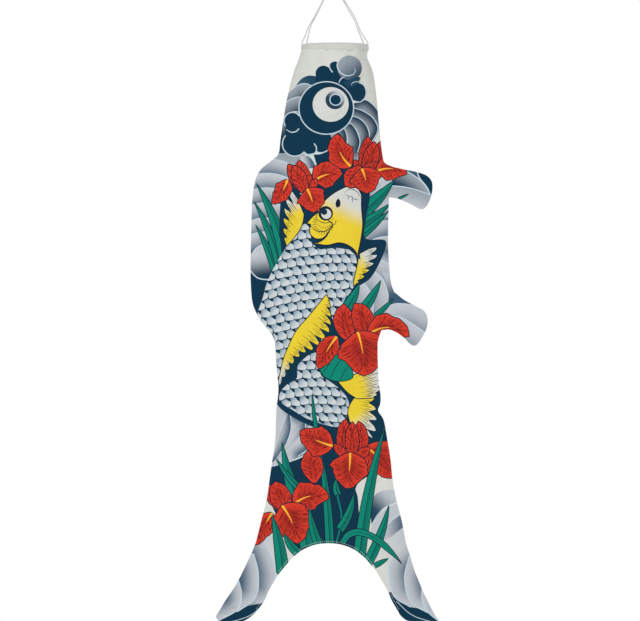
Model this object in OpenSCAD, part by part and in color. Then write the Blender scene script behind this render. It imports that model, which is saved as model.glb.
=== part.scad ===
// Carp streamer: a printed cloth sleeve cut as a carp, with its mouth held open by a hoop.
// It hangs head up from a swivel, by a bridle of doubled cord.
// Origin: the middle of the hanging eye. +Z is up and -Y is the front.
// Cloth outlines are [down, across]: down from the top of the mouth, across from the hanging line,
// both for a cloth 1000 long.

/* [Cloth] */
// Length of the cloth, from the mouth to the lowest point of the tail
cloth_length = 1000; // [800:10:1400]
// Thickness of one layer of cloth
cloth_t = 0.6; // [0.4:0.1:0.8]
// How far the sleeve is puffed out at the shoulders, as a share of its drawn depth
puff = 1; // [0.8:0.05:1.4]

/* [Mouth] */
// Outer radius of the hoop's tube
hoop_tube_r = 3; // [2.5:0.1:3.2]
// Wall thickness of the hoop's tube
hoop_wall = 1.2; // [0.8:0.1:1.4]
// Outer radius of the hem round the hoop
casing_r = 6; // [5.6:0.1:7]

/* [Bridle] */
// Diameter of the cord
cord_d = 2; // [1.6:0.1:2]

/* [Swivel] */
// Radius of the hanging eye's hole
eye_hole_r = 4; // [3:0.1:4.4]
// Width of the hanging eye along its hole
eye_w = 2.4; // [2:0.1:3]
// Radius of the two shanks inside the barrel
shank_r = 1.2; // [1:0.05:1.3]
// Radial clearance of a shank in its barrel
run_gap = 0.07; // [0.03:0.01:0.1]

/* [Hidden] */

k = cloth_length / 1000;
cord_r = cord_d / 2;
layer_gap = 0.15; // from the middle plane to each layer of cloth
flap_gap = 1; // from a flap's fold line to the cloth on each side of it
waist_gap = 5; // the same at the waist, where the sleeve is deeper

// Heights of the swivel's parts.
barrel_top = -9;
barrel_len = 10;
barrel_wall = 1.6; // thickness of each end
head_r = 2.1;
head_t = 1.5;
lower_eye_r = 3.9; // to the middle of its wire
lower_wire_r = 0.9;
lower_eye_z = -25.2;
sway_z = lower_eye_z - lower_eye_r; // the cord's loop turns about the lower eye's lowest wire
knot_loop_r = 4.2;
knot_loop_z = sway_z + lower_wire_r + 0.3 + cord_r - knot_loop_r;
knot_r = 4.4;
knot_z = knot_loop_z - knot_loop_r - cord_r - knot_r + 0.5;

// The bridle's four strands, from their holes in the mouth up into the knot.
left_outer = [
    [-50.5, 0, -142], [-48, 0, -135], [-45.5, 0, -128], [-42.5, 0.25, -121], [-39.5, 0.5, -114],
    [-36.5, 0.75, -107], [-33, 1, -100], [-29.5, 1, -93], [-26, 1.25, -86], [-22, 1.25, -79],
    [-18.5, 1.25, -72], [-14.5, 1.25, -64], [-10, 1.25, -56], [-5.5, 1.25, -49], [-1.5, 1.25, -42]
];
left_inner = [
    [-42.5, 0, -142], [-40.5, 0, -135], [-38.5, 0, -128], [-36, -0.25, -121], [-33.5, -0.5, -114],
    [-31, -0.75, -107], [-28, -1, -100], [-25.5, -1, -93], [-22.5, -1.25, -86], [-19, -1.25, -79],
    [-16, -1.25, -72], [-12.5, -1.25, -64], [-8.5, -1.25, -56], [-5, -1.25, -49], [-1.5, -1.25, -42]
];
right_inner = [
    [54.5, 0, -142], [52, 0, -135], [49.5, 0, -128], [47, -0.25, -121], [44, -0.5, -114],
    [41, -0.75, -107], [37.5, -1, -100], [34, -1, -93], [30, -1.25, -86], [26, -1.25, -79],
    [21.5, -1.25, -72], [16.5, -1.25, -64], [11.5, -1.25, -56], [6.5, -1.25, -49], [1.5, -1.25, -42]
];
right_outer = [
    [62.5, 0, -142], [60, 0, -135], [57, 0, -128], [53.5, 0.25, -121], [50, 0.5, -114],
    [46.5, 0.75, -107], [42.5, 1, -100], [38.5, 1, -93], [34, 1.25, -86], [29, 1.25, -79],
    [24, 1.25, -72], [18.5, 1.25, -64], [12.5, 1.25, -56], [7, 1.25, -49], [1.5, 1.25, -42]
];

// Heights and sizes of the mouth.
fold_z = left_outer[0][2]; // the bridle folds about this line, where the cords leave the mouth
top_z = fold_z - 1;
hoop_z = top_z - casing_r;
hoop_r = 52.5 * k;
hoop_x = 6 * k;
strand_x = hoop_tube_r + cord_r + 0.1; // from the middle of the hoop's tube to each strand

// The sleeve's side edges. The straight stretches are the fold lines of the fins.
left_edge = [
    [10, -51], [29, -57], [47, -64], [64, -69], [98, -77], [133, -83], [167, -88], [190, -91],
    [200, -100], [209, -112], [515, -97], [529, -96.5], [564, -94], [598, -91.5], [633, -95],
    [685, -97], [719, -102], [754, -107], [788, -112], [823, -121], [857, -129.5], [875, -136],
    [887, -141.5]
];
right_edge = [
    [10, 63], [24, 61.5], [31, 64], [47, 70.5], [64, 74], [98, 78], [133, 81], [167, 84.5], [197, 88.5],
    [207, 92.5], [213.5, 106], [266, 99], [340, 97.5], [391, 100], [415, 103], [429, 108],
    [495, 86], [512, 80.5], [529, 79.5], [581, 81], [607, 84.5], [622, 84], [634, 80.5],
    [650, 90], [685, 96.5], [719, 102], [754, 105.5], [788, 112], [823, 121], [857, 127.5],
    [875, 132.5], [887, 136.5]
];
// Depth of the puffed sleeve, from its middle plane to the front.
depth = [
    [10, 57], [30, 55], [60, 48], [98, 40], [133, 33], [167, 28], [209, 24], [300, 20],
    [450, 17], [560, 13.5], [620, 12], [700, 10], [800, 6], [862, 2.5], [887, 1.5]
];
waist = 620;
tail_fold = 887;

// Outer edges of the flaps, from one end of the fold line to the other.
dorsal_edge = [
    [209, -112], [219, -122.5], [236, -131], [271, -136.5], [330, -138.5], [391, -139.5],
    [426, -138.5], [450, -135.5], [468, -128], [483, -118.5], [499, -104.5], [515, -97]
];
upper_fin_edge = [
    [213.5, 106], [218, 126], [222.5, 148], [228.5, 164], [238, 172.5], [251, 174], [266, 171], [281, 164],
    [286.5, 154], [277.5, 136], [269, 116], [266, 99]
];
lower_fin_edge = [
    [429, 108], [443, 126], [454, 146.5], [461, 159], [474, 165.5], [491, 164], [512, 153.5],
    [521, 145], [519, 136], [509, 126], [500, 114], [494, 100], [495, 86]
];
left_tail_edge = [
    [887, -141.5], [909, -152], [926, -160.5], [943.5, -171], [961, -183], [978, -193], [988, -199.5],
    [996, -194], [1000, -178], [1000, -163], [995, -149], [986.5, -136.5], [978, -128], [961, -116],
    [943.5, -108], [926, -98], [909, -86], [887, -67.5]
];
right_tail_edge = [
    [887, 136.5], [909, 143], [926, 150], [943.5, 157], [961, 165.5], [978, 174], [990, 181], [999, 188],
    [1000, 176], [999, 160], [998, 146], [995, 130], [986.5, 119], [978, 114], [961, 104],
    [943.5, 96.5], [926, 86.5], [909, 76], [887, 57.5]
];
arch_top = 862;
arch_mid = -5;
arch_half = 62.5;

// ---- Curves -------------------------------------------------------------------------------

function unit(v) = v / norm(v);
function mix(a, b, t) = a + (b - a) * t;
function ease(t) = let(c = min(1, max(0, t))) c * c * (3 - 2 * c);

// A smooth curve through the points, with n steps from each to the next.
function curve(p, n = 4) = [
    for (i = [0 : len(p) - 2])
        let(a = p[max(0, i - 1)], b = p[i], c = p[i + 1], d = p[min(len(p) - 1, i + 2)])
        for (j = [0 : n - 1])
            let(t = j / n)
            0.5 * ((2 * b) + (c - a) * t + (2 * a - 5 * b + 4 * c - d) * t * t
                + (3 * b - a - 3 * c + d) * t * t * t),
    p[len(p) - 1]
];

// A cloth point [down, across] as [x, z].
function place(p) = [p[1] * k, top_z - p[0] * k];

// ---- Cord ---------------------------------------------------------------------------------

// A tube along points that never run along Y.
module tube(path, r, sides = 8) {
    n = len(path);
    rings = [
        for (i = [0 : n - 1])
            let(t = unit(path[min(i + 1, n - 1)] - path[max(i - 1, 0)]),
                a = unit(cross(t, [0, 1, 0])),
                b = cross(t, a))
            for (j = [0 : sides - 1])
                let(w = 360 * j / sides)
                path[i] + r * (cos(w) * a + sin(w) * b)
    ];
    sides_faces = [
        for (i = [0 : n - 2], j = [0 : sides - 1])
            let(a = i * sides + j,
                b = i * sides + (j + 1) % sides)
            each [[a, b + sides, b], [a, a + sides, b + sides]]
    ];
    start_cap = [[for (j = [0 : sides - 1]) j]];
    end_cap = [[for (j = [sides - 1 : -1 : 0]) (n - 1) * sides + j]];
    polyhedron(rings, concat(sides_faces, start_cap, end_cap), convexity = 6);
}

module bridle_strand(route) {
    color("whitesmoke") tube(route, cord_r);
}

// The cord's turn round the hoop, inside the casing.
module bridle_loop(side) {
    top = fold_z - cord_r - 0.1;
    turn = [for (w = [180 : 30 : 360]) [strand_x * cos(w), 0, strand_x * sin(w)]];
    path = concat([[-strand_x, 0, top - hoop_z]], turn, [[strand_x, 0, top - hoop_z]]);
    color("whitesmoke")
        translate([hoop_x + side * hoop_r, 0, hoop_z])
            tube(path, cord_r);
}

module bridle_knot() {
    color("whitesmoke") {
        translate([0, 0, knot_z]) sphere(knot_r, $fn = 48);
        translate([0, 0, knot_loop_z])
            rotate([0, 90, 0])
                rotate_extrude($fn = 64) translate([knot_loop_r, 0]) circle(cord_r, $fn = 32);
    }
}

// ---- Swivel -------------------------------------------------------------------------------

module shank(z_low, z_high) {
    translate([0, 0, z_low]) cylinder(r = shank_r, h = z_high - z_low, $fn = 32);
}

module swivel_upper_eye() {
    rim = eye_hole_r + 2.2;
    half = eye_w / 2;
    head_z = barrel_top - barrel_wall - 0.3 - head_t;
    color("silver") {
        difference() {
            union() {
                rotate([90, 0, 0])
                    rotate_extrude($fn = 96)
                        polygon([[eye_hole_r, -half], [rim - 0.6, -half], [rim, 0.6 - half],
                                 [rim, half - 0.6], [rim - 0.6, half], [eye_hole_r, half]]);
                shank(head_z, -eye_hole_r - 1);
                translate([0, 0, head_z]) cylinder(r = head_r, h = head_t, $fn = 32);
            }
            rotate([90, 0, 0]) cylinder(r = eye_hole_r, h = 4 * eye_w, center = true, $fn = 96);
        }
    }
}

module swivel_barrel() {
    bottom = barrel_top - barrel_len;
    bore = shank_r + run_gap;
    color("silver")
        rotate_extrude($fn = 64)
            polygon([
                [bore, barrel_top], [2.2, barrel_top], [3.3, barrel_top - barrel_wall],
                [3.3, bottom + barrel_wall], [2.2, bottom], [bore, bottom],
                [bore, bottom + barrel_wall], [head_r + 0.2, bottom + barrel_wall],
                [head_r + 0.2, barrel_top - barrel_wall], [bore, barrel_top - barrel_wall]
            ]);
}

module swivel_lower_eye() {
    head_z = barrel_top - barrel_len + barrel_wall + 0.3;
    color("silver") {
        translate([0, 0, head_z]) cylinder(r = head_r, h = head_t, $fn = 32);
        shank(lower_eye_z + lower_eye_r, head_z + 0.1);
        translate([0, 0, lower_eye_z])
            rotate([90, 0, 0])
                rotate_extrude($fn = 64) translate([lower_eye_r, 0]) circle(lower_wire_r, $fn = 32);
    }
}

// ---- Mouth --------------------------------------------------------------------------------

module mouth_hoop() {
    color("white")
        translate([hoop_x, 0, hoop_z])
            rotate_extrude(angle = 359, start = 90.5, $fn = 96)
                translate([hoop_r, 0])
                    difference() {
                        circle(hoop_tube_r, $fn = 32);
                        circle(hoop_tube_r - hoop_wall, $fn = 32);
                    }
}

module hoop_joiner() {
    color("gray")
        translate([hoop_x, 0, hoop_z])
            rotate_extrude(angle = 40, start = 70, $fn = 96)
                translate([hoop_r, 0]) circle(hoop_tube_r - hoop_wall - 0.05, $fn = 32);
}

// The hem round the hoop, slit across its top where each cord goes in.
module mouth_casing() {
    slit_w = 2 * cord_d + 0.4;
    color("ivory")
        translate([hoop_x, 0, hoop_z])
            difference() {
                rotate_extrude($fn = 96)
                    translate([hoop_r, 0])
                        difference() {
                            circle(casing_r, $fn = 48);
                            circle(casing_r - cloth_t, $fn = 48);
                        }
                for (side = [-1, 1])
                    translate([side * hoop_r, 0, casing_r / 2 + 1])
                        cube([2 * casing_r + 1, slit_w, casing_r], center = true);
            }
}

// ---- Cloth --------------------------------------------------------------------------------

columns = 20;
function left_at(v) = lookup(v, left_edge);
function right_at(v) = lookup(v, right_edge);
// The sleeve's section is round at the mouth and a pointed lens from the shoulders down.
function bulge(s, v) = pow(max(0, 1 - s * s), mix(0.5, 0.95, ease((v - 13) / 190)));

// A point of a sleeve panel at s from -1 at the left seam to 1 at the right one, and at depth v.
// inset is 0 on the outside and the cloth's thickness on the inside.
function panel_point(s, v, edge_gap, inset) =
    let(half = (right_at(v) - left_at(v)) / 2 * k - edge_gap - inset,
        middle = (right_at(v) + left_at(v)) / 2 * k,
        deep = lookup(v, depth) * k * (v < 60 ? 1 : mix(1, puff, ease((v - 60) / 100))) - inset)
    [middle + half * s, -layer_gap - deep * bulge(s, v), top_z - v * k];

// The tail's arch, as how far down it is at one place across.
function arch(u) = arch_top + (tail_fold - arch_top) * pow(abs(u - arch_mid) / arch_half, 2.2);

// A closed panel of cloth. grid holds its outside and its inside, each as rows of points from the
// top down.
module panel(grid) {
    rows = len(grid[0]);
    n = columns + 1;
    outer = [for (i = [0 : rows - 1], j = [0 : columns]) grid[0][i][j]];
    inner = [for (i = [0 : rows - 1], j = [0 : columns]) grid[1][i][j]];
    m = rows * n;
    skin = [
        for (i = [0 : rows - 2], j = [0 : columns - 1])
            let(a = i * n + j, b = a + 1, c = a + n, d = c + 1)
            each [[a, b, d], [a, d, c], [m + a, m + d, m + b], [m + a, m + c, m + d]]
    ];
    seams = [
        for (i = [0 : rows - 2])
            let(a = i * n, c = a + n, b = a + columns, d = b + n)
            each [[a, c, m + c], [a, m + c, m + a], [b, m + d, d], [b, m + b, m + d]]
    ];
    ends = [
        for (j = [0 : columns - 1])
            let(a = j, b = j + 1, c = (rows - 1) * n + j, d = c + 1)
            each [[a, m + b, b], [a, m + a, m + b], [c, d, m + d], [c, m + d, m + c]]
    ];
    polyhedron(concat(outer, inner), concat(skin, seams, ends), convexity = 8);
}

function across(j) = sin(90 * (2 * j / columns - 1));

function sleeve_grid() =
    let(bottom = waist - waist_gap / k,
        rows = [10, 15, 22, 31, 39, 47, 56, 64, 76, 87, 98, 110, 121, 133, 150, 167, 180, 190, 200, 209,
                213.5, 230, 248, 266, 290, 315, 340, 366, 391, 415, 429, 445, 462, 479, 495, 505, 515, 529,
                546, 564, 581, 598, 607, bottom])
    [for (inset = [0, cloth_t])
        [for (v = rows) [for (j = [0 : columns]) panel_point(across(j), v, flap_gap / 2, inset)]]];

function rear_grid() =
    let(top = waist + waist_gap / k,
        shares = [0, 0.05, 0.1, 0.17, 0.25, 0.33, 0.42, 0.5, 0.58, 0.66, 0.74, 0.82, 0.88, 0.94, 1])
    [for (inset = [0, cloth_t])
        [for (share = shares)
            [for (j = [0 : columns])
                let(s = across(j),
                    u = mix(left_at(tail_fold), right_at(tail_fold), (s + 1) / 2),
                    bottom = min(tail_fold - flap_gap / k, arch(u)),
                    v = mix(top, bottom, share))
                panel_point(s, v, flap_gap / 2, inset)]]];

module cloth_panel(side, grid) {
    color("lightsteelblue")
        if (side < 0) panel(grid);
        else mirror([0, 1, 0]) panel(grid);
}

// One layer of a flap: its outer edge, with the straight side moved off the fold line.
module flap_layer(edge, side) {
    round_edge = [for (p = curve(edge)) place(p)];
    a = round_edge[0];
    b = round_edge[len(round_edge) - 1];
    along = unit(b - a);
    off = [-along[1], along[0]];
    middle = round_edge[floor(len(round_edge) / 2)];
    outward = (middle - a) * off > 0 ? 1 : -1;
    kept = [for (p = round_edge) if ((p - a) * off * outward >= flap_gap) p];
    first = kept[0];
    last = kept[len(kept) - 1];
    root_a = first - off * outward * ((first - a) * off * outward - flap_gap);
    root_b = last - off * outward * ((last - a) * off * outward - flap_gap);
    color("lightsteelblue")
        translate([0, side < 0 ? -layer_gap : layer_gap + cloth_t, 0])
            rotate([90, 0, 0])
                linear_extrude(cloth_t)
                    polygon(concat([root_a], kept, [root_b]));
}

// ---- The nodes ----------------------------------------------------------------------------

swivel_upper_eye();
swivel_barrel();
swivel_lower_eye();
bridle_knot();
bridle_strand(left_outer);  // bridle_strand_left_outer
bridle_strand(left_inner);  // bridle_strand_left_inner
bridle_strand(right_inner);  // bridle_strand_right_inner
bridle_strand(right_outer);  // bridle_strand_right_outer
bridle_loop(-1);  // bridle_loop_left
bridle_loop(1);  // bridle_loop_right
mouth_hoop();
hoop_joiner();
mouth_casing();
cloth_panel(-1, sleeve_grid());  // front_sleeve
cloth_panel(1, sleeve_grid());  // back_sleeve
cloth_panel(-1, rear_grid());  // front_rear
cloth_panel(1, rear_grid());  // back_rear
flap_layer(dorsal_edge, -1);  // dorsal_fin_front
flap_layer(dorsal_edge, 1);  // dorsal_fin_back
flap_layer(upper_fin_edge, -1);  // upper_belly_fin_front
flap_layer(upper_fin_edge, 1);  // upper_belly_fin_back
flap_layer(lower_fin_edge, -1);  // lower_belly_fin_front
flap_layer(lower_fin_edge, 1);  // lower_belly_fin_back
flap_layer(left_tail_edge, -1);  // left_tail_front
flap_layer(left_tail_edge, 1);  // left_tail_back
flap_layer(right_tail_edge, -1);  // right_tail_front
flap_layer(right_tail_edge, 1);  // right_tail_back
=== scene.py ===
"""Carp streamer: a printed cloth sleeve with its mouth held open by a hoop, hung by a cord bridle.

The cloth is cut and printed flat, in millimetres: u runs across from the hanging line, and v down
from the top of the mouth. The print is a stack of inked shapes. All of them are cut into one flat
triangle mesh, so that every ink edge is sharp, and the mesh is then shaped into the puffed sleeve.
"""
import math

import bpy
import numpy as np
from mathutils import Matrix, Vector
from mathutils.geometry import delaunay_2d_cdt


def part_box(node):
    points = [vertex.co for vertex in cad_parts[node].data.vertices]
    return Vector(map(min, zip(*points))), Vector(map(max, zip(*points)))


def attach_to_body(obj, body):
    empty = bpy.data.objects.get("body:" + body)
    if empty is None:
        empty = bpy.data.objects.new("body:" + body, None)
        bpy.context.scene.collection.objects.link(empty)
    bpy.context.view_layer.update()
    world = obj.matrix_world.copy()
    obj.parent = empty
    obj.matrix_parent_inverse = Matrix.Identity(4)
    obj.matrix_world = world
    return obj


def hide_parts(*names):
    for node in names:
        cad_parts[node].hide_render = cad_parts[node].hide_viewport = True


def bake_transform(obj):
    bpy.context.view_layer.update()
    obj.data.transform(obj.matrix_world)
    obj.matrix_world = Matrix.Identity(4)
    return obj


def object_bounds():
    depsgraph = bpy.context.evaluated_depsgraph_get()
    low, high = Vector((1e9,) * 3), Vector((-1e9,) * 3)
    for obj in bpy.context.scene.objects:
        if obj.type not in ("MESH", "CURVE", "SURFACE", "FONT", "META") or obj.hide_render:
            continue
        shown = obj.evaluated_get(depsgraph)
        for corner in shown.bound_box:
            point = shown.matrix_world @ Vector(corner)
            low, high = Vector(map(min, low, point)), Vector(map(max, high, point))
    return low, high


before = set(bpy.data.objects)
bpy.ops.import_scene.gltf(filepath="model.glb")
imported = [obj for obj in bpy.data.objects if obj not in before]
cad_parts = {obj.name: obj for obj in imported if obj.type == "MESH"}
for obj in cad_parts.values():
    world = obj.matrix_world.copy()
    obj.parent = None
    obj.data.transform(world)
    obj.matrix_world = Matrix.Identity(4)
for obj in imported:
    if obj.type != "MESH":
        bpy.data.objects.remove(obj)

CAD_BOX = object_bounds()

# ---- The camera ---------------------------------------------------------------------------------

CASING_LOW, CASING_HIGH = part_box("mouth_casing")
TOP = CASING_HIGH[2]
DRAWN_LENGTH = 1000  # of the cloth, in the millimetres that it is drawn in
K = (TOP - CAD_BOX[0][2]) / DRAWN_LENGTH  # one drawn millimetre, in metres
VIEW_WIDTH = 1.1034
VIEW_DISTANCE = 8.5
SENSOR = 36
VIEW_CENTRE = Vector((-0.0198, 0, TOP - 0.4612))

camera_data = bpy.data.cameras.new("camera")
camera_data.sensor_width = SENSOR
camera_data.lens = SENSOR * VIEW_DISTANCE / VIEW_WIDTH
camera_data.clip_end = 50
camera = bpy.data.objects.new("camera", camera_data)
camera.location = VIEW_CENTRE + Vector((0, -VIEW_DISTANCE, 0))
camera.rotation_euler = (math.pi / 2, 0, 0)
bpy.context.scene.collection.objects.link(camera)
bpy.context.scene.camera = camera

# ---- Small helpers ------------------------------------------------------------------------------


def ease(t):
    t = np.clip(t, 0, 1)
    return t * t * (3 - 2 * t)


def linear(r, g, b):
    """A screen colour, 0 to 255, as linear light."""
    c = np.array([r, g, b]) / 255
    return np.where(c <= 0.04045, c / 12.92, ((c + 0.055) / 1.055) ** 2.4)


def curve(points, step=2.0, closed=False):
    """A smooth line through points, with a point about every step."""
    p = np.array(points, float)
    if closed:
        ends = np.vstack([p[-1], p, p[:2]])
    else:
        ends = np.vstack([2 * p[0] - p[1], p, 2 * p[-1] - p[-2]])
    out = []
    for a, b, c, d in zip(ends, ends[1:], ends[2:], ends[3:]):
        n = max(1, round(float(np.linalg.norm(c - b)) / step))
        t = (np.arange(n) / n)[:, None]
        out.append(0.5 * (2 * b + (c - a) * t + (2 * a - 5 * b + 4 * c - d) * t**2
                          + (3 * b - a - 3 * c + d) * t**3))
    return np.vstack(out) if closed else np.vstack(out + [p[-1:]])


def shape(*runs, step=2.0):
    """A closed outline of smooth runs, with a corner where one run meets the next."""
    return np.vstack([curve(run, step)[:-1] for run in runs])


def round_shape(points):
    """A closed outline that is smooth all the way round."""
    return curve(points, closed=True)


def circle(centre, r, step=2.0):
    n = max(12, round(2 * math.pi * r / step))
    w = np.arange(n) * 2 * math.pi / n
    return np.array(centre) + r * np.column_stack([np.cos(w), np.sin(w)])


def sideways(path):
    """The unit normals of a line, to its left as v runs down."""
    t = np.gradient(path, axis=0)
    t /= np.maximum(np.linalg.norm(t, axis=1, keepdims=True), 1e-9)
    return np.column_stack([t[:, 1], -t[:, 0]])


def distance(points, path):
    """How far each point is from a line."""
    best = np.full(len(points), 1e9)
    for a, b in zip(path, path[1:]):
        d = b - a
        t = np.clip(((points - a) @ d) / max(float(d @ d), 1e-12), 0, 1)
        best = np.minimum(best, np.linalg.norm(points - a - t[:, None] * d, axis=1))
    return best


def inside(points, polygon):
    """Which points lie inside a closed outline, by how many of its sides lie to their right."""
    a, b = polygon, np.roll(polygon, -1, axis=0)
    order = np.argsort(points[:, 1])
    heights = points[order, 1]
    first = np.searchsorted(heights, np.minimum(a[:, 1], b[:, 1]))
    count = np.searchsorted(heights, np.maximum(a[:, 1], b[:, 1])) - first
    side = np.repeat(np.arange(len(a)), count)
    point = order[np.arange(count.sum()) + np.repeat(first - np.cumsum(count) + count, count)]
    t = (points[point, 1] - a[side, 1]) / (b[side, 1] - a[side, 1])
    right = points[point, 0] < a[side, 0] + t * (b[side, 0] - a[side, 0])
    return np.bincount(point[right], minlength=len(points)) % 2 == 1


# ---- Inks ---------------------------------------------------------------------------------------

CLOTH = linear(209, 211, 205)
WHITE = linear(206, 208, 203)
NAVY = linear(0, 48, 71)
DUSK = linear(22, 64, 88)
SLATE = linear(58, 86, 110)
GREY = linear(187, 192, 198)
HAZE = linear(148, 158, 166)
PALE = linear(190, 206, 216)
INK = linear(14, 26, 46)
RED = linear(208, 56, 38)
DEEP_RED = linear(168, 40, 30)
VEIN = linear(86, 14, 18)
GREEN = linear(0, 130, 110)
DEEP_GREEN = linear(0, 102, 90)
YELLOW = linear(226, 200, 50)
STAMEN = linear(240, 184, 50)
SCALE = linear(204, 209, 211)
SCALE_SHADE = linear(122, 150, 170)

# Widths of the drawn lines, in millimetres.
LEAF_LINE = 1.4
PETAL_LINE = 1.6
FIN_LINE = 1.5
CREASE_LINE = 0.9
VEIN_LINE = 1.05
PALE_LINE = 2.0

LAYERS = []  # the print's inked shapes, the lowest first: (outline, ink, clip)


def flat(ink):
    """An ink that is the same everywhere."""
    return lambda p: np.broadcast_to(ink, (len(p), 3))


def shade(ink0, ink1, start, end):
    """An ink that turns into another from start to end."""
    a = np.array(start, float)
    d = np.array(end, float) - a

    def paint(p):
        t = ease(((p - a) @ d) / (d @ d))[:, None]
        return ink0 * (1 - t) + ink1 * t
    return paint


def airbrush(ink0, ink1, path, reach):
    """An ink along a line that turns into another, reach away from it."""
    coarse = path[::3]

    def paint(p):
        t = ease(distance(p, coarse) / reach)[:, None]
        return ink0 * (1 - t) + ink1 * t
    return paint


def fill(outline, ink, clip=None):
    """Ink the inside of an outline, and of the clip if there is one."""
    LAYERS.append((np.asarray(outline, float), ink if callable(ink) else flat(ink), clip))


def stroke(path, width, ink, start=1.0, end=1.0, clip=None):
    """A line of ink. start and end are the shares of its width at its two ends."""
    share = np.interp(np.linspace(0, 1, len(path)), [0, 0.5, 1], [start, 1, end])[:, None]
    fill(tapered(path, width / 2 * share), ink, clip)


def pale_line(points, start=1.0, end=1.0, width=PALE_LINE):
    """A smooth pale line through points."""
    stroke(curve(points), width, PALE, start, end)


def tapered(path, half):
    """The outline of a band along a path, with its half width at each point."""
    n = sideways(path) * half
    return np.vstack([path + n, (path - n)[::-1]])


def area(outline):
    x, y = outline[:, 0], outline[:, 1]
    return abs(np.sum(x * np.roll(y, 1) - y * np.roll(x, 1))) / 2


def outlined(outline, ink, line_ink, width, clip=None):
    """A filled shape with a line round it."""
    n = sideways(np.vstack([outline[-1:], outline, outline[:1]]))[1:-1]
    grown, shrunk = outline + n * width / 2, outline - n * width / 2
    if area(grown) < area(shrunk):
        grown, shrunk = shrunk, grown
    fill(grown, line_ink, clip)
    fill(shrunk, ink, clip)


# ---- Motifs of the print ------------------------------------------------------------------------


def bands(arcs, floor, near, far, reach):
    """Airbrushed bands that overlap: each starts at its arc and runs on under the next one."""
    for arc in arcs:
        path = curve(arc)
        fill(np.vstack([path, floor]), airbrush(near, far, path, reach))
        stroke(path, PALE_LINE, PALE, 0.6, 0.6)


# Outlines of a drooping petal, a standing petal and a leaf: (share of length, share of width).
FALL = [(0, 0.2), (0.1, 0.58), (0.24, 0.92), (0.4, 1), (0.58, 0.88), (0.76, 0.62), (0.91, 0.34), (1, 0.0)]
UPRIGHT = [(0, 0.2), (0.2, 0.68), (0.45, 1), (0.7, 0.9), (0.88, 0.54), (1, 0.0)]
BLADE = [(0, 1), (0.3, 0.97), (0.6, 0.74), (0.85, 0.34), (1, 0.0)]
CREASED_WIDTH = 10  # a leaf wider than this has its crease drawn
VEIN_GAP = 4.2  # along a petal


def leaf_outline(base, tip, width, bend, profile):
    """The middle line of a leaf from base to tip, and the way from it to the leaf's left edge."""
    base, tip = np.array(base, float), np.array(tip, float)
    along = tip - base
    length = float(np.linalg.norm(along))
    across = np.array([along[1], -along[0]]) / length
    t = np.linspace(0, 1, max(11, round(length / 2)))[:, None]
    middle = base + along * t + across * bend * 4 * t * (1 - t)
    smooth = curve(profile, 0.04)
    half = width / 2 * np.interp(t[:, 0], smooth[:, 0], smooth[:, 1])[:, None]
    return middle, sideways(middle) * half


def blade(base, tip, width, bend=0.0):
    """A sword-shaped leaf with a shaded half and a crease."""
    middle, half = leaf_outline(base, tip, width, bend, BLADE)
    outlined(np.vstack([middle + half, (middle - half)[::-1]]), GREEN, INK, LEAF_LINE)
    shaded = np.vstack([middle, (middle - 0.88 * half)[::-1]])
    fill(shaded, airbrush(DEEP_GREEN, GREEN, middle, width * 0.6))
    if width > CREASED_WIDTH:
        stroke(middle[: len(middle) * 3 // 4], CREASE_LINE, INK, 1, 0.2)


def petal(base, tip, width, bend=0.0, stamen=0.0, seed=0):
    """A ruffled petal with fine veins. One with a stamen droops wide; the others stand narrow."""
    rng = np.random.default_rng(seed)
    middle, half = leaf_outline(base, tip, width, bend, FALL if stamen else UPRIGHT)
    t = np.linspace(0, 1, len(middle))[:, None]
    ruffle = 0.07 if stamen else 0.03

    def wavy():
        slow = np.sin(2 * math.pi * (2.3 * t + rng.random()))
        quick = np.sin(2 * math.pi * (5.1 * t + rng.random()))
        return 1 + ruffle * (slow + 0.6 * quick) * ease(3 * t)

    left = middle + half * wavy()
    right = middle - half * wavy()
    ring = np.vstack([left, right[::-1]])
    outlined(ring, airbrush(RED, DEEP_RED, ring, 26), INK, PETAL_LINE)
    last = len(middle) - 1
    count = max(5, round(float(np.linalg.norm(middle[-1] - middle[0])) / VEIN_GAP))
    for i in range(count):
        for edge in (left, right):
            start = 0.06 + 0.7 * i / count + 0.03 * rng.random()
            stop = min(0.96, start + 0.24 + 0.1 * rng.random())
            root, rim = middle[int(start * last)], edge[int(stop * last)]
            turn = (root + rim) / 2 + (middle[int((start + stop) / 2 * last)] - root) * 0.3
            vein = curve([root * 0.85 + turn * 0.15, turn, turn * 0.22 + rim * 0.78], 1.0)
            cut = rng.integers(len(vein) // 3, 2 * len(vein) // 3 + 1)
            for part in (vein[:cut], vein[cut + 1:]):
                if len(part) > 2:
                    stroke(part, VEIN_LINE, VEIN, 0.3, 0.3)
    if stamen:
        path = middle[: int(stamen * last) + 1]
        fill(tapered(path, np.linspace(2.1, 0.4, len(path))[:, None]), STAMEN)


def ray_fin(root, tips, count, ink, notch=0.25, hatch=0.4, lean=0.5):
    """A fin whose far edge is cut into fingers, with fine lines up from every notch and between."""
    foot, head = curve(root, 1.0), curve(tips, 1.0)
    palm = 1 - notch
    finger = ((0, palm), (lean * 0.55, 0.93), (lean, 1.0), (lean * 0.6 + 0.42, 0.93))
    rays = ((0, palm - hatch, palm), (0.5, 0.55 - hatch / 2, 0.82), (0.25, 0.5, 0.7), (0.75, 0.56, 0.76))

    def at(q, reach):
        q = min(max(q / count, 0), 1)
        a, b = foot[int(q * (len(foot) - 1))], head[int(q * (len(head) - 1))]
        return a + (b - a) * reach

    rim = [at(i + q, reach) for i in range(count) for q, reach in finger]
    outlined(np.vstack([foot, np.array(rim + [at(count, palm)])[::-1]]), ink, INK, FIN_LINE)
    for i in range(count):
        for q, low, high in rays:
            stroke(np.linspace(at(i + q, low), at(i + q, high), 6), CREASE_LINE, INK, 0.2, 0.9)


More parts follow.
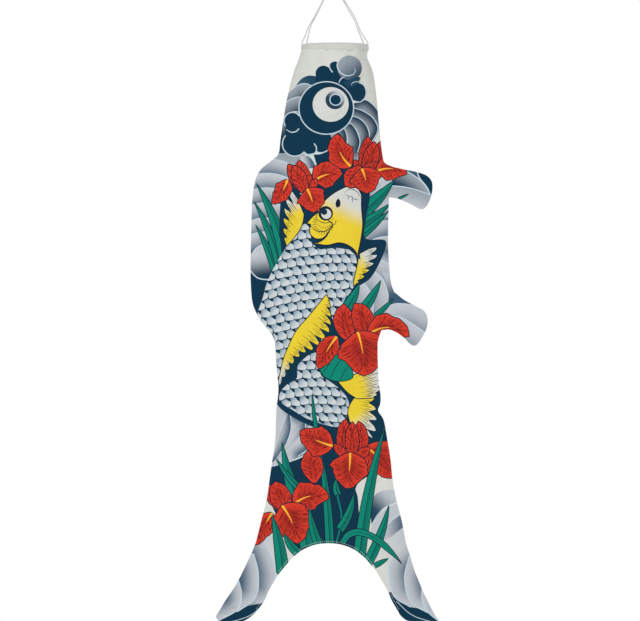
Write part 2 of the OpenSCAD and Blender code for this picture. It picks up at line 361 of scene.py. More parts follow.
# One scale as runs between its corners, in steps of a column and a row from its middle.
SHIELD = [[(-0.47, -0.41), (-0.2, -0.46), (0.08, -0.46)], [(0.08, -0.46), (0.27, -0.18), (0.47, -0.08)],
          [(0.47, -0.08), (0.49, 0.2), (0.44, 0.44)], [(0.44, 0.44), (0.06, 0.49), (-0.42, 0.46)],
          [(-0.42, 0.46), (-0.49, 0.1), (-0.47, -0.41)]]
SCALE_PITCH = 15.6
ROW_SQUEEZE = 0.96
SCALE_TWIST = 0.1


def scales(region, origin, turn, bow, rows, columns):
    """Rows of scales on a navy ground, inked only inside a region."""
    fill(region, NAVY)
    cos, sin = math.cos(math.radians(turn)), math.sin(math.radians(turn))
    rng = np.random.default_rng(rows)

    def flow(a, b):
        x = a * SCALE_PITCH
        y = b * SCALE_PITCH * ROW_SQUEEZE - bow * x**2 / 100
        return np.array([origin[0] + x * cos - y * sin, origin[1] + x * sin + y * cos])

    for row in range(-rows, rows + 1):
        for column in range(-columns, columns + 1):
            a = column + 0.5 * (row % 2)
            centre = flow(a, row)
            east, south = flow(a + 1, row) - centre, flow(a, row + 1) - centre
            twist = SCALE_TWIST * rng.standard_normal(4)
            runs = [[centre + (p + twist[0] * q) * east + (q + twist[1] * p) * south for p, q in run]
                    for run in SHIELD]
            outline = shape(*runs, step=2.5)
            if inside(outline, region).any():
                light = centre + 0.2 * east + 0.3 * south
                dark = centre - 0.5 * east - 0.5 * south
                fill(outline, shade(SCALE, SCALE_SHADE, light, dark), region)


def cloud(lobes, body, hooks, line=0.0):
    """A scalloped navy cloud: round lobes run together, with a pale line round them all."""
    if line:
        for centre, r in lobes:
            fill(circle(centre, r + line / 2), PALE)
    for centre, r in lobes:
        fill(circle(centre, r - line / 2), NAVY)
    fill(round_shape(body), NAVY)
    for hook in hooks:
        pale_line(hook, 0.5, 1)


# ---- The print, from its ground up --------------------------------------------------------------


def print_ground():
    """The airbrushed waves down both edges and on the belly fins."""
    far = 220
    fill([(-far, 0), (far, 0), (far, 1010), (-far, 1010)], CLOTH)
    fill([(-110, 186), (-60, 184), (-36, 196), (-40, 232), (-60, 270), (-150, 270), (-150, 200)],
         shade(HAZE, GREY, (-80, 196), (-96, 220)))
    left = [[(-150, v + 8), (-128, v), (-105, v - 1), (-82, v + 4), (-60, v + 16)]
            for v in (201, 226, 251, 277, 303, 327)]
    bands(left, [(-60, 420), (-150, 420)], GREY, SLATE, 33)
    ball = shape([(-150, 360), (-138, 364), (-129, 353), (-116, 347), (-104, 350), (-98, 372), (-98, 400)],
                 [(-98, 400), (-108, 408), (-122, 406), (-132, 401), (-150, 390)])
    fill(ball, shade(GREY, NAVY, (-122, 362), (-116, 402)))
    pale_line([(-138, 364), (-129, 353), (-116, 347), (-102, 350)], 0.6, 0.6)
    fill(shape([(-150, 386), (-138, 395), (-130, 402), (-121, 406), (-95, 408)],
               [(-95, 408), (-80, 520), (-150, 520)]),
         NAVY)
    pale_line([(-140, 392), (-131, 402), (-122, 406.5), (-108, 408)], width=2.2)
    right = [[(30, v + 34), (54, v + 12), (80, v), (104, v - 3), (125, v + 2)]
             for v in (240, 262, 284, 309, 336)]
    bands(right, [(125, 470), (30, 470)], GREY, SLATE, 34)
    fill(shape([(60, 346), (84, 352), (101, 360), (112, 364)],
               [(112, 364), (112, 470), (50, 470), (46, 400)]),
         shade(SLATE, GREY, (96, 352), (88, 384)))
    fan = [[(70, 372), (84, 374), (100, 382), (114, 392)],
           [(40, 402), (60, 392), (74, 394), (90, 410), (98, 436), (97, 456)],
           [(30, 424), (46, 412), (58, 417), (68, 432), (72, 450), (71, 470)]]
    bands(fan, [(71, 520), (20, 500)], GREY, SLATE, 52)
    fill([(88, 395), (112, 400), (140, 436), (185, 440), (185, 462), (112, 448), (97, 455), (99, 430)],
         shade(GREY, SLATE, (92, 398), (110, 436)))
    # The two belly fins.
    fill([(86, 195), (185, 195), (185, 300), (84, 280)], shade(GREY, SLATE, (100, 215), (136, 214)))
    bands([[(118, 216), (128, 220), (150, 234), (163, 248), (170, 262)]], [(190, 300), (70, 300)],
          HAZE, NAVY, 30)
    bands([[(70, 262), (84, 250), (104, 246.5), (130, 249), (152, 255), (176, 264)]], [(190, 300), (70, 300)],
          HAZE, GREY, 34)
    fill(shape([(147, 218), (152, 232), (164, 247), (170, 260)],
               [(170, 260), (185, 262), (185, 205), (150, 205)]), NAVY)
    pale_line([(147, 220), (152, 233), (164, 248), (170, 261)])
    lower = [[(96, 454), (112, 449), (136, 451), (152, 457), (170, 466)],
             [(100, 474), (116, 471), (138, 483), (166, 502)]]
    bands(lower, [(170, 540), (80, 540)], GREY, SLATE, 58)


def print_rear_ground():
    """The waves low on the left, and the navy water behind the reeds."""
    waves = [[(-110, 600), (-82, 612), (-62, 640), (-40, 652)],
             [(-72, 630), (-70, 668), (-86, 706), (-108, 730)],
             [(-45, 640), (-46, 676), (-60, 706), (-84, 726)],
             [(-22, 640), (-20, 672), (-34, 694), (-58, 712)]]
    fill([(-115, 600), (-40, 600), (-20, 700), (-108, 735)], shade(SLATE, GREY, (-96, 640), (-80, 700)))
    bands(waves, [(-10, 690), (-60, 715), (-108, 735)], SLATE, GREY, 20)
    fill(shape([(-112, 732), (-98, 729), (-72, 722), (-48, 712), (-33, 697), (-27, 675), (-18, 655),
                (30, 640)],
               [(30, 640), (60, 600), (120, 590), (120, 722)],
               [(120, 722), (60, 748), (42, 766), (46, 790), (50, 880)],
               [(50, 880), (-60, 880)], [(-60, 880), (-76, 852), (-96, 812), (-110, 780)]), NAVY)
    fill([(-82, 900), (-74, 876), (-52, 852), (-20, 840), (-20, 880), (-60, 900)], NAVY)
    pale_line([(-112, 731), (-98, 728), (-72, 721), (-48, 711), (-34, 697)])
    swirl = [(66, 800), (68, 790), (78, 776), (96, 770), (118, 772), (132, 780)]
    fill(np.vstack([curve(swirl), [(134, 790), (112, 790), (94, 798), (80, 814), (69, 830)]]),
         shade(DUSK, GREY, (74, 808), (104, 776)))
    pale_line([(69, 830), (80, 812), (94, 799), (112, 791), (126, 788)], 0.5, 0.5)
    fill([(64, 846), (80, 816), (96, 800), (128, 789), (150, 840), (128, 908), (90, 908)], GREY)
    for arc, foot, dark in (
        ([(134, 806), (118, 813), (100, 826), (84, 846), (74, 868)], (84, 908), (130, 844)),
        ([(138, 834), (123, 842), (108, 862), (98, 888)], (112, 908), (140, 872)),
    ):
        path = curve(arc)
        fill(np.vstack([path, [foot, (150, 908), (150, arc[0][1])]]), shade(GREY, SLATE, arc[3], dark))
        stroke(path, PALE_LINE, PALE, 0.5, 0.5)


def print_tail():
    """Overlapping plumes down both tail ends, with navy tips."""
    for side, plumes in (
        (-1, [((-118, 850), (-98, 900), (-100, 950), (-124, 966), 36),
              ((-134, 880), (-126, 915), (-131, 955), (-162, 980), 34),
              ((-160, 926), (-155, 950), (-162, 976), (-196, 996), 30)]),
        (1, [((122, 868), (99, 900), (106, 950), (136, 972), 38),
             ((134, 884), (126, 922), (136, 962), (166, 982), 36),
             ((156, 940), (156, 958), (166, 980), (190, 1000), 28)])):
        flip = np.array([side, 1])
        far = 260
        fill([(90, 946), (far, 960), (far, 1010), (60, 1010)] * flip, NAVY)
        fill([(58, 880), (130, 830), (far, 840), (far, 990), (140, 966), (104, 944)] * flip,
             shade(GREY, CLOTH, (150, 900) * flip, (90, 930) * flip))
        for a, b, c, d, reach in plumes:
            edge = curve([a, b, c, d])
            fill(np.vstack([edge, [(far, 990), (far, 830)] * flip]), airbrush(GREY, SLATE, edge, reach))
            stroke(edge, 2.2, PALE, 0.7, 0.7)
        pale_line([(112, 962), (138, 985), (172, 997), (200, 1000)] * flip, width=1.2)


EYE_SQUEEZE = 0.95


def print_eye():
    """The streamer's own big eye, in a nest of feathers and clouds."""
    fill(shape([(-66, 82), (-58, 70), (-50, 62), (-38, 58), (-22, 60)], [(-22, 60), (-30, 90), (-66, 84)]),
         shade(DUSK, SLATE, (-30, 60), (-64, 78)))
    nape = [[(-74, 86), (-60, 75), (-46, 71.5), (-34, 76), (-26, 84)],
            [(-90, 112), (-76, 101), (-66, 96), (-56, 94), (-44, 97)],
            [(-100, 140), (-80, 126), (-66, 119), (-52, 120)]]
    bands(nape, [(-30, 190), (-110, 190)], HAZE, NAVY, 28)
    feathers = [[(36, 106), (52, 99), (64, 101), (78, 114), (90, 136)],
                [(38, 113), (54, 118), (70, 128), (79, 142), (79, 154), (70, 170)],
                [(36, 127), (48, 131), (59, 141), (65, 155), (64, 168), (58, 180)],
                [(28, 137), (38, 144), (46, 158), (49, 172), (45, 188)],
                [(20, 145), (26, 158), (27, 174), (24, 195)]]
    bands(feathers, [(40, 235), (-10, 215), (0, 130)], NAVY, HAZE, 21)
    cloud([((6, 45), 10.5), ((-14, 55), 13.5), ((44.5, 86), 15.5)],
          [(-24, 56), (-4, 46), (10, 44), (34, 62), (52, 76), (40, 98), (14, 84), (-14, 76), (-26, 70)],
          [[(-3.5, 40), (-2.5, 47), (2, 53)]])
    fill(circle((31, 45), 21), shade(HAZE, DUSK, (18, 30), (44, 68)))
    fill(shape([(44, 60), (30, 66), (20, 70), (28, 78)], [(28, 78), (40, 76), (50, 62), (44, 60)]), DUSK)
    pale_line([(10.5, 35), (10, 44), (16, 54), (27, 58.5), (37, 56), (41, 50), (39, 46)], 1, 0.4)
    pale_line([(22.5, 60), (16, 64), (12.5, 71)], 0.5, 0.5)
    pale_line([(33.5, 74), (37, 70), (45, 68.5), (54, 72), (59.5, 83), (58, 94), (51, 102), (39, 104)],
              0.4, 0.7)
    cloud([((-67.5, 134.5), 14.5), ((-63, 174), 21.5), ((-18, 174), 16), ((-36, 180), 14)],
          [(-76, 134), (-50, 128), (-10, 150), (0, 168), (-10, 184), (-40, 188), (-62, 184), (-78, 164)],
          [[(-78, 149), (-70, 154), (-61, 153), (-56, 148)],
           [(-40, 193), (-28, 190), (-26, 181), (-30, 174)]], 2.0)
    fill(shape([(-31, 193), (-18, 192), (-4, 186)],
               [(-4, 186), (12, 156), (34, 200), (16, 226), (-24, 222)]), NAVY)
    fill(shape([(-54, 196), (-42, 194), (-32, 203), (-26, 216)], [(-26, 216), (-50, 216), (-54, 196)]),
         shade(SLATE, GREY, (-34, 200), (-50, 204)))
    pale_line([(-46, 193), (-38, 196), (-31, 204), (-26, 215)])
    eye = (((-9, 113.5), 48, PALE), ((-9, 113.5), 46, NAVY), ((-1.5, 107.5), 31, WHITE),
           ((6, 100), 16.5, airbrush(NAVY, GREY, curve([(-8, 96), (-2, 110), (12, 112)]), 24)),
           ((7, 99.5), 10.8, PALE), ((7, 99.5), 9, NAVY))
    for centre, r, ink in eye:
        fill(centre + circle((0, 0), r) * (1, EYE_SQUEEZE), ink)


def print_carp():
    """A swimming carp: scaled back, yellow head and fins, all on a navy halo."""
    fill(round_shape([(-86, 262), (-74, 240), (-60, 250), (-44, 270), (-34, 226), (0, 208), (20, 210),
                      (44, 206), (62, 222),
                      (66, 262), (60, 300), (58, 336), (92, 340), (90, 362), (68, 404), (40, 424), (20, 452),
                      (12, 470), (34, 492), (20, 520), (-22, 540), (-86, 520), (-118, 470), (-88, 380),
                      (-90, 320)]), NAVY)
    body = round_shape([(-46, 312), (-62, 334), (-78, 352), (-94, 378), (-110, 410), (-118, 438), (-128, 474),
                        (-112, 492), (-99, 506), (-96, 540), (-90, 584), (-66, 560), (-24, 480), (-8, 440),
                        (5, 482), (22, 444), (37, 422), (43, 392), (42, 370), (30, 352), (-10, 340),
                        (-30, 330)])
    scales(body, (-40, 420), -7, -0.1, 15, 11)
    fill(round_shape([(-10, 500), (-64, 540), (-92, 590), (-94, 622), (-60, 648), (-10, 668), (30, 664),
                      (40, 640), (34, 604), (14, 584), (0, 560)]), NAVY)
    stem = round_shape([(-16, 510), (-24, 530), (-40, 538), (-58, 556), (-60, 578), (-76, 588), (-88, 602),
                        (-88, 618), (-64, 634), (-44, 646), (-10, 658), (16, 660), (27, 640), (29, 616),
                        (14, 596), (-4, 582), (-20, 566)])
    scales(stem, (-40, 600), -4, -0.2, 9, 8)
    # The tail, the back fin and the two side fins.
    fill(round_shape([(8, 578), (50, 568), (86, 552), (100, 600), (78, 620), (88, 650), (74, 676), (44, 672),
                      (26, 646), (34, 612)]), NAVY)
    fill([(44, 650), (90, 640), (90, 690), (40, 690)], NAVY)
    fill([(2, 500), (36, 500), (36, 545), (2, 545)], NAVY)
    ray_fin([(40, 610), (32, 622), (28, 636), (31, 652)],
            [(72, 604), (77, 630), (78, 656), (72, 681), (46, 668)], 6,
            shade(YELLOW, WHITE, (50, 632), (70, 658)), 0.3, 0.3)
    ray_fin([(10, 581), (18, 592), (30, 604), (44, 613)], [(90, 554), (90, 572), (88, 594), (74, 612)], 5,
            shade(YELLOW, WHITE, (50, 586), (82, 580)), 0.14)
    ray_fin([(-9, 433), (-38, 469), (-61, 496), (-75, 524), (-84, 548), (-92, 584)],
            [(-2, 446), (-2, 494), (-28, 526), (-48, 535), (-66, 552), (-90, 592)], 13,
            shade(YELLOW, WHITE, (-76, 540), (-90, 576)), 0.42, 0.3, 0.72)
    ray_fin([(-47, 296), (-50, 312), (-57, 326), (-66, 338), (-76, 349)],
            [(-66, 250), (-77, 258), (-81, 280), (-83, 304), (-83, 328), (-79, 349)], 6,
            shade(WHITE, YELLOW, (-70, 270), (-60, 298)), 0.42, 0.25, 0.45)
    ray_fin([(47, 364), (45, 378), (42, 392), (39, 406), (37, 418)],
            [(76, 348), (80, 362), (73, 380), (63, 395), (52, 408), (39, 419)], 6,
            shade(YELLOW, WHITE, (50, 386), (66, 370)), 0.42, 0.25, 0.45)
    # The head.
    fill([(-36, 330), (20, 330), (46, 340), (50, 374), (30, 356), (8, 353), (-20, 356), (-34, 346)], NAVY)
    head = shape([(-25, 298), (-22, 286), (-12, 272), (2, 260), (16, 252), (30, 247), (45, 251), (52, 262)],
                 [(52, 262), (52, 285), (54, 312), (51, 338), (45, 367)],
                 [(45, 367), (38, 356), (26, 348), (12, 345), (-8, 349), (-29, 346)],
                 [(-29, 346), (-16, 340), (-7, 330), (-4, 318), (-12, 308), (-25, 298)])
    outlined(head, shade(WHITE, YELLOW, (30, 272), (14, 306)), INK, 2.4)
    jaw = shape([(-24, 293), (-32, 299), (-42, 311), (-36, 313), (-38, 324), (-34, 333), (-25, 338),
                 (-14, 336),
                 (-6, 327), (2, 314), (-6, 306)], [(-6, 306), (-14, 298), (-24, 293)])
    outlined(jaw, YELLOW, INK, 1.8)
    for degrees in range(24, 205, 15):
        w = math.radians(degrees)
        ray = np.array([math.cos(w), math.sin(w)])
        stroke(np.linspace((-14, 311) + 13 * ray, (-14, 311) + 20 * ray, 5), 1.2, INK, 1, 0.3)
        stroke(np.linspace((-12, 304) + 13 * ray, (-12, 304) + 16.5 * ray, 4), 1.0, INK, 0.6, 0.6)
    stroke(curve([(-36, 313), (-32, 320), (-22, 325), (-10, 324), (0, 316), (6, 312), (8, 306)]),
           1.5, INK, 0.5, 0.7)
    for centre, r, ink in (((-10, 294), 12.5, INK), ((-9, 295), 8.6, WHITE), ((-12.5, 291.5), 5.2, NAVY)):
        fill(circle(centre, r, 1.5), ink)
    stroke(curve([(-24, 292), (-26, 302), (-18, 309), (-6, 310), (4, 302)]), 1.4, INK, 0.4, 0.4)
    fill(shape([(11, 268), (7, 276), (9, 284), (15, 281), (15, 272)], [(15, 272), (11, 268)]), INK)
    for line in ([(22, 260), (27, 254), (34, 252), (44, 257), (50, 266)], [(24, 262), (30, 265), (28, 270)],
                 [(30, 266), (35, 265), (36, 275)], [(36, 268), (41, 270), (46, 269)]):
        stroke(curve(line), 1.3, INK, 0.3, 0.5)


def print_leaves():
    """The leaves on both sides of the carp, which run in behind it."""
    for leaf in (
        ((-96, 396), (-131, 313), 13, -3), ((-89, 386), (-134, 272), 15, -5),
        ((-80, 376), (-130, 241), 19, -7),
        ((36, 304), (108, 236), 25, -4), ((36, 322), (102, 276), 17, -3), ((36, 342), (99, 288), 14, -3),
        ((116, 268), (133, 260), 4, 0),
    ):
        blade(*leaf)


def print_flowers():
    """Red irises and the leaves in front."""
    for leaf in (((22, 462), (48, 414), 18, -2), ((48, 468), (85, 409), 17, -2),
                 ((76, 470), (107, 440), 9, -1), ((-25, 674), (-33, 604), 7, 1)):
        blade(*leaf)
    outlined(round_shape([(-20, 562), (-9, 577), (13, 583), (36, 577), (34, 559), (26, 538), (14, 520),
                          (-10, 540)]),
             GREEN, INK, LEAF_LINE)
    for crease in ([(18, 526), (2, 544), (-16, 571)], [(24, 538), (10, 554), (-3, 579)],
                   [(31, 554), (22, 566), (15, 582)]):
        stroke(curve(crease), 1.1, INK, 0.4, 0.8)
    # The dark heart of each flower: (middle, radius).
    throats = (((58, 214), 11), ((-41, 254), 9), ((46, 504), 13), ((33, 706), 11), ((-78, 800), 10))
    # Each petal: (base, tip, width, bend, the stamen's share of its length).
    blooms = [
        # Upper right.
        ((62, 224), (38, 202), 16, 2, 0), ((33, 213), (10, 157), 45, 8, 0.5),
        ((80, 216), (86, 168), 24, -2, 0),
        ((50, 220), (63, 161), 24, -3, 0), ((54, 224), (74, 170), 27, -4, 0),
        ((48, 212), (22, 246), 34, 4, 0),
        ((50, 222), (88, 213), 18, 3, 0), ((78, 221), (130, 226), 42, 7, 0.55),
        ((52, 217), (60, 260), 52, 3, 0.5),
        # Left.
        ((-76, 236), (-103, 277), 30, 4, 0.4), ((-30, 238), (19, 226), 46, 5, 0.55),
        ((-52, 258), (-75, 209), 22, -2, 0),
        ((-34, 260), (-56, 202), 26, 3, 0), ((-43, 262), (-65, 211), 25, 0, 0),
        ((-34, 260), (-25, 234), 14, 2, 0),
        ((-42, 252), (-31, 293), 48, 3, 0.55),
        # Middle right.
        ((9, 506), (-22, 562), 36, -3, 0.5), ((34, 514), (22, 449), 36, 6, 0),
        ((58, 514), (38, 449), 38, -8, 0),
        ((64, 502), (134, 506), 46, 14, 0.5), ((45, 498), (55, 574), 84, 4, 0.5),
        # Low in the centre.
        ((-30, 758), (-42, 702), 38, -3, 0), ((2, 694), (-54, 668), 50, 3, 0.5),
        ((60, 696), (108, 750), 60, 4, 0.45),
        ((27, 716), (25, 647), 25, 5, 0), ((44, 717), (46, 651), 25, -6, 0), ((35, 720), (36, 652), 24, 0, 0),
        ((34, 716), (4, 690), 16, 2, 0), ((36, 716), (66, 696), 18, -2, 0),
        ((32, 706), (25, 768), 64, 2, 0.5),
        # Low on the left.
        ((-102, 810), (-132, 866), 34, -2, 0.3), ((-84, 808), (-110, 762), 34, -4, 0),
        ((-72, 808), (-97, 755), 36, 3, 0),
        ((-64, 794), (-4, 784), 50, 9, 0.5), ((-85, 797), (-58, 863), 70, 5, 0.5),
    ]
    # Each reed: (base, tip, width, bend). The first six stand behind the petals.
    reeds = [
        ((-26, 864), (-85, 687), 27, 9), ((-50, 772), (-95, 716), 12, 3), ((-3, 866), (-20, 700), 15, -3),
        ((48, 884), (91, 664), 21, 5), ((62, 896), (99, 796), 17, -4), ((-42, 868), (-45, 780), 24, 4),
        ((-84, 914), (-103, 813), 21, -3), ((-56, 880), (-82, 844), 15, 3), ((14, 838), (38, 775), 15, -5),
        ((11, 778), (8, 750), 12, 2), ((-20, 870), (-38, 800), 15, 3), ((74, 901), (98, 888), 9, 0),
    ]
    for reed in reeds[:6]:
        blade(*reed)
    stroke(curve([(10, 770), (11, 784), (17, 812), (14, 838), (8, 862)]), 2.4, GREEN)
    for centre, r in throats:
        outlined(circle(centre, r), DEEP_RED, INK, PETAL_LINE)
    for seed, bloom in enumerate(blooms):
        petal(*bloom, seed)
    for reed in reeds[6:] + [reeds[3]]:
        blade(*reed)
    arch = curve([(18, 862), (30, 847), (50, 843), (78, 855), (104, 878), (121, 897)])
    half = np.interp(np.linspace(0, 1, len(arch)), [0, 0.25, 0.7, 1], [5, 6, 5, 0.2])[:, None]
    outlined(tapered(arch, half), GREEN, INK, LEAF_LINE)
    stroke(arch, CREASE_LINE, INK, 0.3, 0.2)


# ---- The cut of the cloth -----------------------------------------------------------------------

HEM_V = 10  # where the printed cloth starts, below the top of the mouth
REAR_V = 598  # where the rear piece starts
TAIL_V = 875  # where the two tail ends start
ARCH_U = -5  # the middle of the tail's arch
HEAD_LEFT = [(-51, 10), (-57, 29), (-64, 47), (-69, 64), (-77, 98), (-83, 133), (-88, 167), (-91, 190),
             (-100, 200), (-112, 209)]
DORSAL_FIN = [(-112, 209), (-122.5, 219), (-131, 236), (-136.5, 271), (-138.5, 330), (-139.5, 391),
              (-138.5, 426), (-135.5, 450), (-128, 468), (-118.5, 483), (-104.5, 499), (-97, 515)]
REAR_LEFT = [(-97, 515), (-96.5, 529), (-94, 564), (-91.5, 598), (-95, 633), (-97, 685), (-102, 719),
             (-107, 754), (-112, 788), (-121, 823), (-129.5, 857), (-136, 875), (-141.5, 887)]
LEFT_TAIL_OUT = [(-141.5, 887), (-152, 909), (-160.5, 926), (-171, 943.5), (-183, 961), (-193, 978),
                 (-199.5, 988)]
LEFT_TAIL_IN = [(-199.5, 988), (-194, 996), (-178, 1000), (-163, 1000), (-149, 995), (-136.5, 986.5),
                (-128, 978), (-116, 961), (-108, 943.5), (-98, 926), (-86, 909), (-67.5, 887)]
ARCH = [(-67.5, 887), (-50, 873.5), (-28, 864.5), (-5, 862), (18, 864.5), (40, 873.5), (57.5, 887)]
RIGHT_TAIL_IN = [(57.5, 887), (76, 909), (86.5, 926), (96.5, 943.5), (104, 961), (114, 978), (119, 986.5),
                 (130, 995), (146, 998), (160, 999.5), (176, 1000), (188, 999)]
RIGHT_TAIL_OUT = [(188, 999), (181, 990), (174, 978), (165.5, 961), (157, 943.5), (150, 926), (143, 909),
                  (136.5, 887)]
REAR_RIGHT = [(136.5, 887), (132.5, 875), (127.5, 857), (121, 823), (112, 788), (105.5, 754), (102, 719),
              (96.5, 685), (90, 650), (80.5, 634), (84, 622), (84.5, 607), (81, 581), (79.5, 529),
              (80.5, 512), (86, 495)]
LOWER_FIN = [(86, 495), (100, 494), (114, 500), (126, 509), (136, 519), (145, 521), (153.5, 512), (164, 491),
             (165.5, 474), (159, 461), (146.5, 454), (126, 443), (108, 429)]
FLANK = [(108, 429), (103, 415), (100, 391), (97.5, 340), (99, 266)]
UPPER_FIN = [(99, 266), (116, 269), (136, 277.5), (154, 286.5), (164, 281), (171, 266), (174, 251),
             (172.5, 238), (164, 228.5), (148, 222.5), (126, 218), (106, 213.5)]
HEAD_RIGHT = [(106, 213.5), (92.5, 207), (88.5, 197), (84.5, 167), (81, 133), (78, 98), (74, 64), (70.5, 47),
              (64, 31), (61.5, 24), (63, 10)]
OUTLINE = shape(HEAD_LEFT, DORSAL_FIN, REAR_LEFT, LEFT_TAIL_OUT, LEFT_TAIL_IN, ARCH, RIGHT_TAIL_IN,
                RIGHT_TAIL_OUT, REAR_RIGHT, LOWER_FIN, FLANK, UPPER_FIN, HEAD_RIGHT, [(63, 10), (-51, 10)])
LEFT_EDGE = np.vstack([curve(HEAD_LEFT), curve(REAR_LEFT), [(-199.5, 1001)]])
RIGHT_EDGE = np.vstack([curve(REAR_RIGHT[::-1])[::-1], curve(FLANK), curve(HEAD_RIGHT)])[::-1]
RIGHT_EDGE = np.vstack([RIGHT_EDGE, [(188, 1001)]])
# How far each face stands out from the middle plane, down the sleeve: (v, distance).
DEPTH = np.array([(10, 57), (30, 55), (60, 48), (98, 40), (133, 33), (167, 28), (209, 24), (300, 20),
                  (450, 17), (560, 13.5), (620, 12), (700, 10), (800, 6), (862, 2.5), (887, 1),
                  (1001, 0.5)], float)
CLOTH_T = 0.0005  # in metres
PUFF = 1.3  # the extra that the cloth stands out below the head, in from its edge

# Soft creases: a line, how far the cloth stands out along it, and how wide it is, in millimetres.
CREASES = [
    ([(58, 10), (53, 36), (52, 72)], -4.0, 5), ([(47, 10), (44, 40), (41, 80)], 1.8, 7),
    ([(-47, 10), (-45, 44)], -1.5, 4), ([(-28, 10), (-29, 38)], -0.9, 4), ([(-8, 10), (-7, 46)], -1.1, 5),
    ([(14, 10), (15, 34)], -0.8, 4), ([(32, 10), (30, 44)], -1.2, 4),
    ([(62, 52), (66, 120), (60, 180)], -2.5, 9),
    ([(-60, 40), (-66, 110), (-70, 170)], -2.0, 9), ([(-92, 196), (-60, 214), (-20, 222)], 2.5, 9),
    ([(90, 204), (60, 226), (30, 236)], 2.5, 9), ([(-20, 240), (-30, 380), (-18, 520)], 1.8, 16),
    ([(48, 270), (40, 400), (46, 520)], 1.6, 15), ([(-84, 300), (-76, 440)], -1.6, 10),
    ([(104, 432), (70, 452), (30, 460)], 2.0, 9), ([(84, 498), (50, 520), (20, 560)], 1.8, 10),
    ([(-95, 518), (-60, 560), (-30, 640)], 1.8, 11), ([(82, 630), (50, 650), (0, 664)], 1.8, 9),
    ([(-30, 700), (-62, 800), (-100, 880), (-140, 960)], 2.2, 13),
    ([(30, 700), (56, 800), (96, 880), (130, 960)], 2.2, 13),
    ([(0, 740), (-2, 856)], -1.4, 12), ([(-86, 760), (-124, 880), (-176, 980)], -1.6, 10),
    ([(84, 760), (120, 880), (170, 980)], -1.6, 10), ([(-124, 250), (-128, 340), (-122, 450)], 1.0, 8),
]


def stand_out(uv):
    """How far the cloth stands out from its middle plane, in millimetres."""
    u, v = uv[:, 0], uv[:, 1]
    left = np.interp(v, LEFT_EDGE[:, 1], LEFT_EDGE[:, 0])
    right = np.interp(v, RIGHT_EDGE[:, 1], RIGHT_EDGE[:, 0])
    s = np.clip((u - (left + right) / 2) / ((right - left) / 2), -1, 1)
    power = 0.5 + 0.45 * ease((v - 13) / 190)  # round at the mouth, leaf-shaped further down
    y = np.interp(v, DEPTH[:, 0], DEPTH[:, 1]) * (1 - s * s) ** power
    edge = distance(uv, np.vstack([OUTLINE[::3], OUTLINE[:1]]))
    below_head = ease((v - 150) / 60)
    y += below_head * (0.4 + PUFF * ease(edge / 9))
    for path, height, width in CREASES:
        near = np.exp(-(distance(uv, curve(path, 12)) / width) ** 2)
        y += height * near * (below_head * ease(edge / 14) + (1 - below_head) * (1 - s**6))
    return y


def place(uv, y):
    """Cloth points, y out from the middle plane, as points of the frame."""
    return np.column_stack([uv[:, 0] * K, y * K, TOP - uv[:, 1] * K])


# ---- Cutting the printed cloth into triangles ---------------------------------------------------

PIECES = {  # name: (its body, the body that it bends to, where the bend starts, where it ends)
    "left_tail": ("rear", "left_tail", (-105, 876), (-105, 902)),
    "right_tail": ("rear", "right_tail", (97, 876), (97, 902)),
    "rear": ("sleeve", "rear", (0, 600), (0, 640)),
    "dorsal_fin": ("sleeve", "dorsal_fin", (-104.5, 362), (-118.5, 361.3)),
    "upper_belly_fin": ("sleeve", "upper_belly_fin", (102.5, 239.75), (116.4, 241.6)),
    "lower_belly_fin": ("sleeve", "lower_belly_fin", (97, 462), (110.3, 466.4)),
    "sleeve": ("sleeve", None, None, None),
}
FOLDS = {  # the line where each piece meets its neighbour
    "dorsal_fin": ((-112, 209), (-97, 515)),
    "upper_belly_fin": ((106, 213.5), (99, 266)),
    "lower_belly_fin": ((108, 429), (86, 495)),
    "rear": ((-110, REAR_V), (110, REAR_V)),
    "left_tail": ((-160, TAIL_V), (-40, TAIL_V)),
    "right_tail": ((30, TAIL_V), (150, TAIL_V)),
}
FINS = (("dorsal_fin", -1, 200, 525), ("upper_belly_fin", 1, 200, 300), ("lower_belly_fin", 1, 420, 525))


def piece_of(uv):
    """The name of the piece of cloth that each point belongs to."""
    u, v = uv[:, 0], uv[:, 1]
    names = np.where(v > REAR_V, "rear", "sleeve").astype("U16")
    names[(v > TAIL_V) & (u < ARCH_U)] = "left_tail"
    names[(v > TAIL_V) & (u > ARCH_U)] = "right_tail"
    for name, side, low, high in FINS:
        (u0, v0), (u1, v1) = FOLDS[name]
        fold = u0 + (v - v0) * (u1 - u0) / (v1 - v0)
        names[(v > low) & (v < high) & ((u - fold) * side > 0)] = name
    return names


GRID = 5.0  # between the loose points inside the cloth
MERGE_GAP = 1e-5
SLIVER = 1e-6
GRID_TAIL_V = 890  # below this the rows of points no longer follow the two edges
RIM_GAP = 1.6


def loose_points():
    """Points that keep the cloth's triangles small enough to bend."""
    rows = np.arange(HEM_V + 3, DRAWN_LENGTH - 1, GRID)
    shares = np.sin(np.linspace(-math.pi / 2, math.pi / 2, 45))[1:-1]
    points = []
    for i, v in enumerate(rows):
        left = np.interp(v, LEFT_EDGE[:, 1], LEFT_EDGE[:, 0])
        right = np.interp(v, RIGHT_EDGE[:, 1], RIGHT_EDGE[:, 0])
        if v < GRID_TAIL_V:
            points += [((left + right) / 2 + s * (right - left) / 2, v) for s in shares]
        points += [(u, v) for u in np.arange(-203 + GRID / 2 * (i % 2), 200, GRID)
                   if v >= GRID_TAIL_V or u < left - 3 or u > right + 3]
    points = np.array(points)
    ring = np.vstack([OUTLINE, OUTLINE[:1]])
    return points[inside(points, OUTLINE) & (distance(points, ring) > RIM_GAP)]


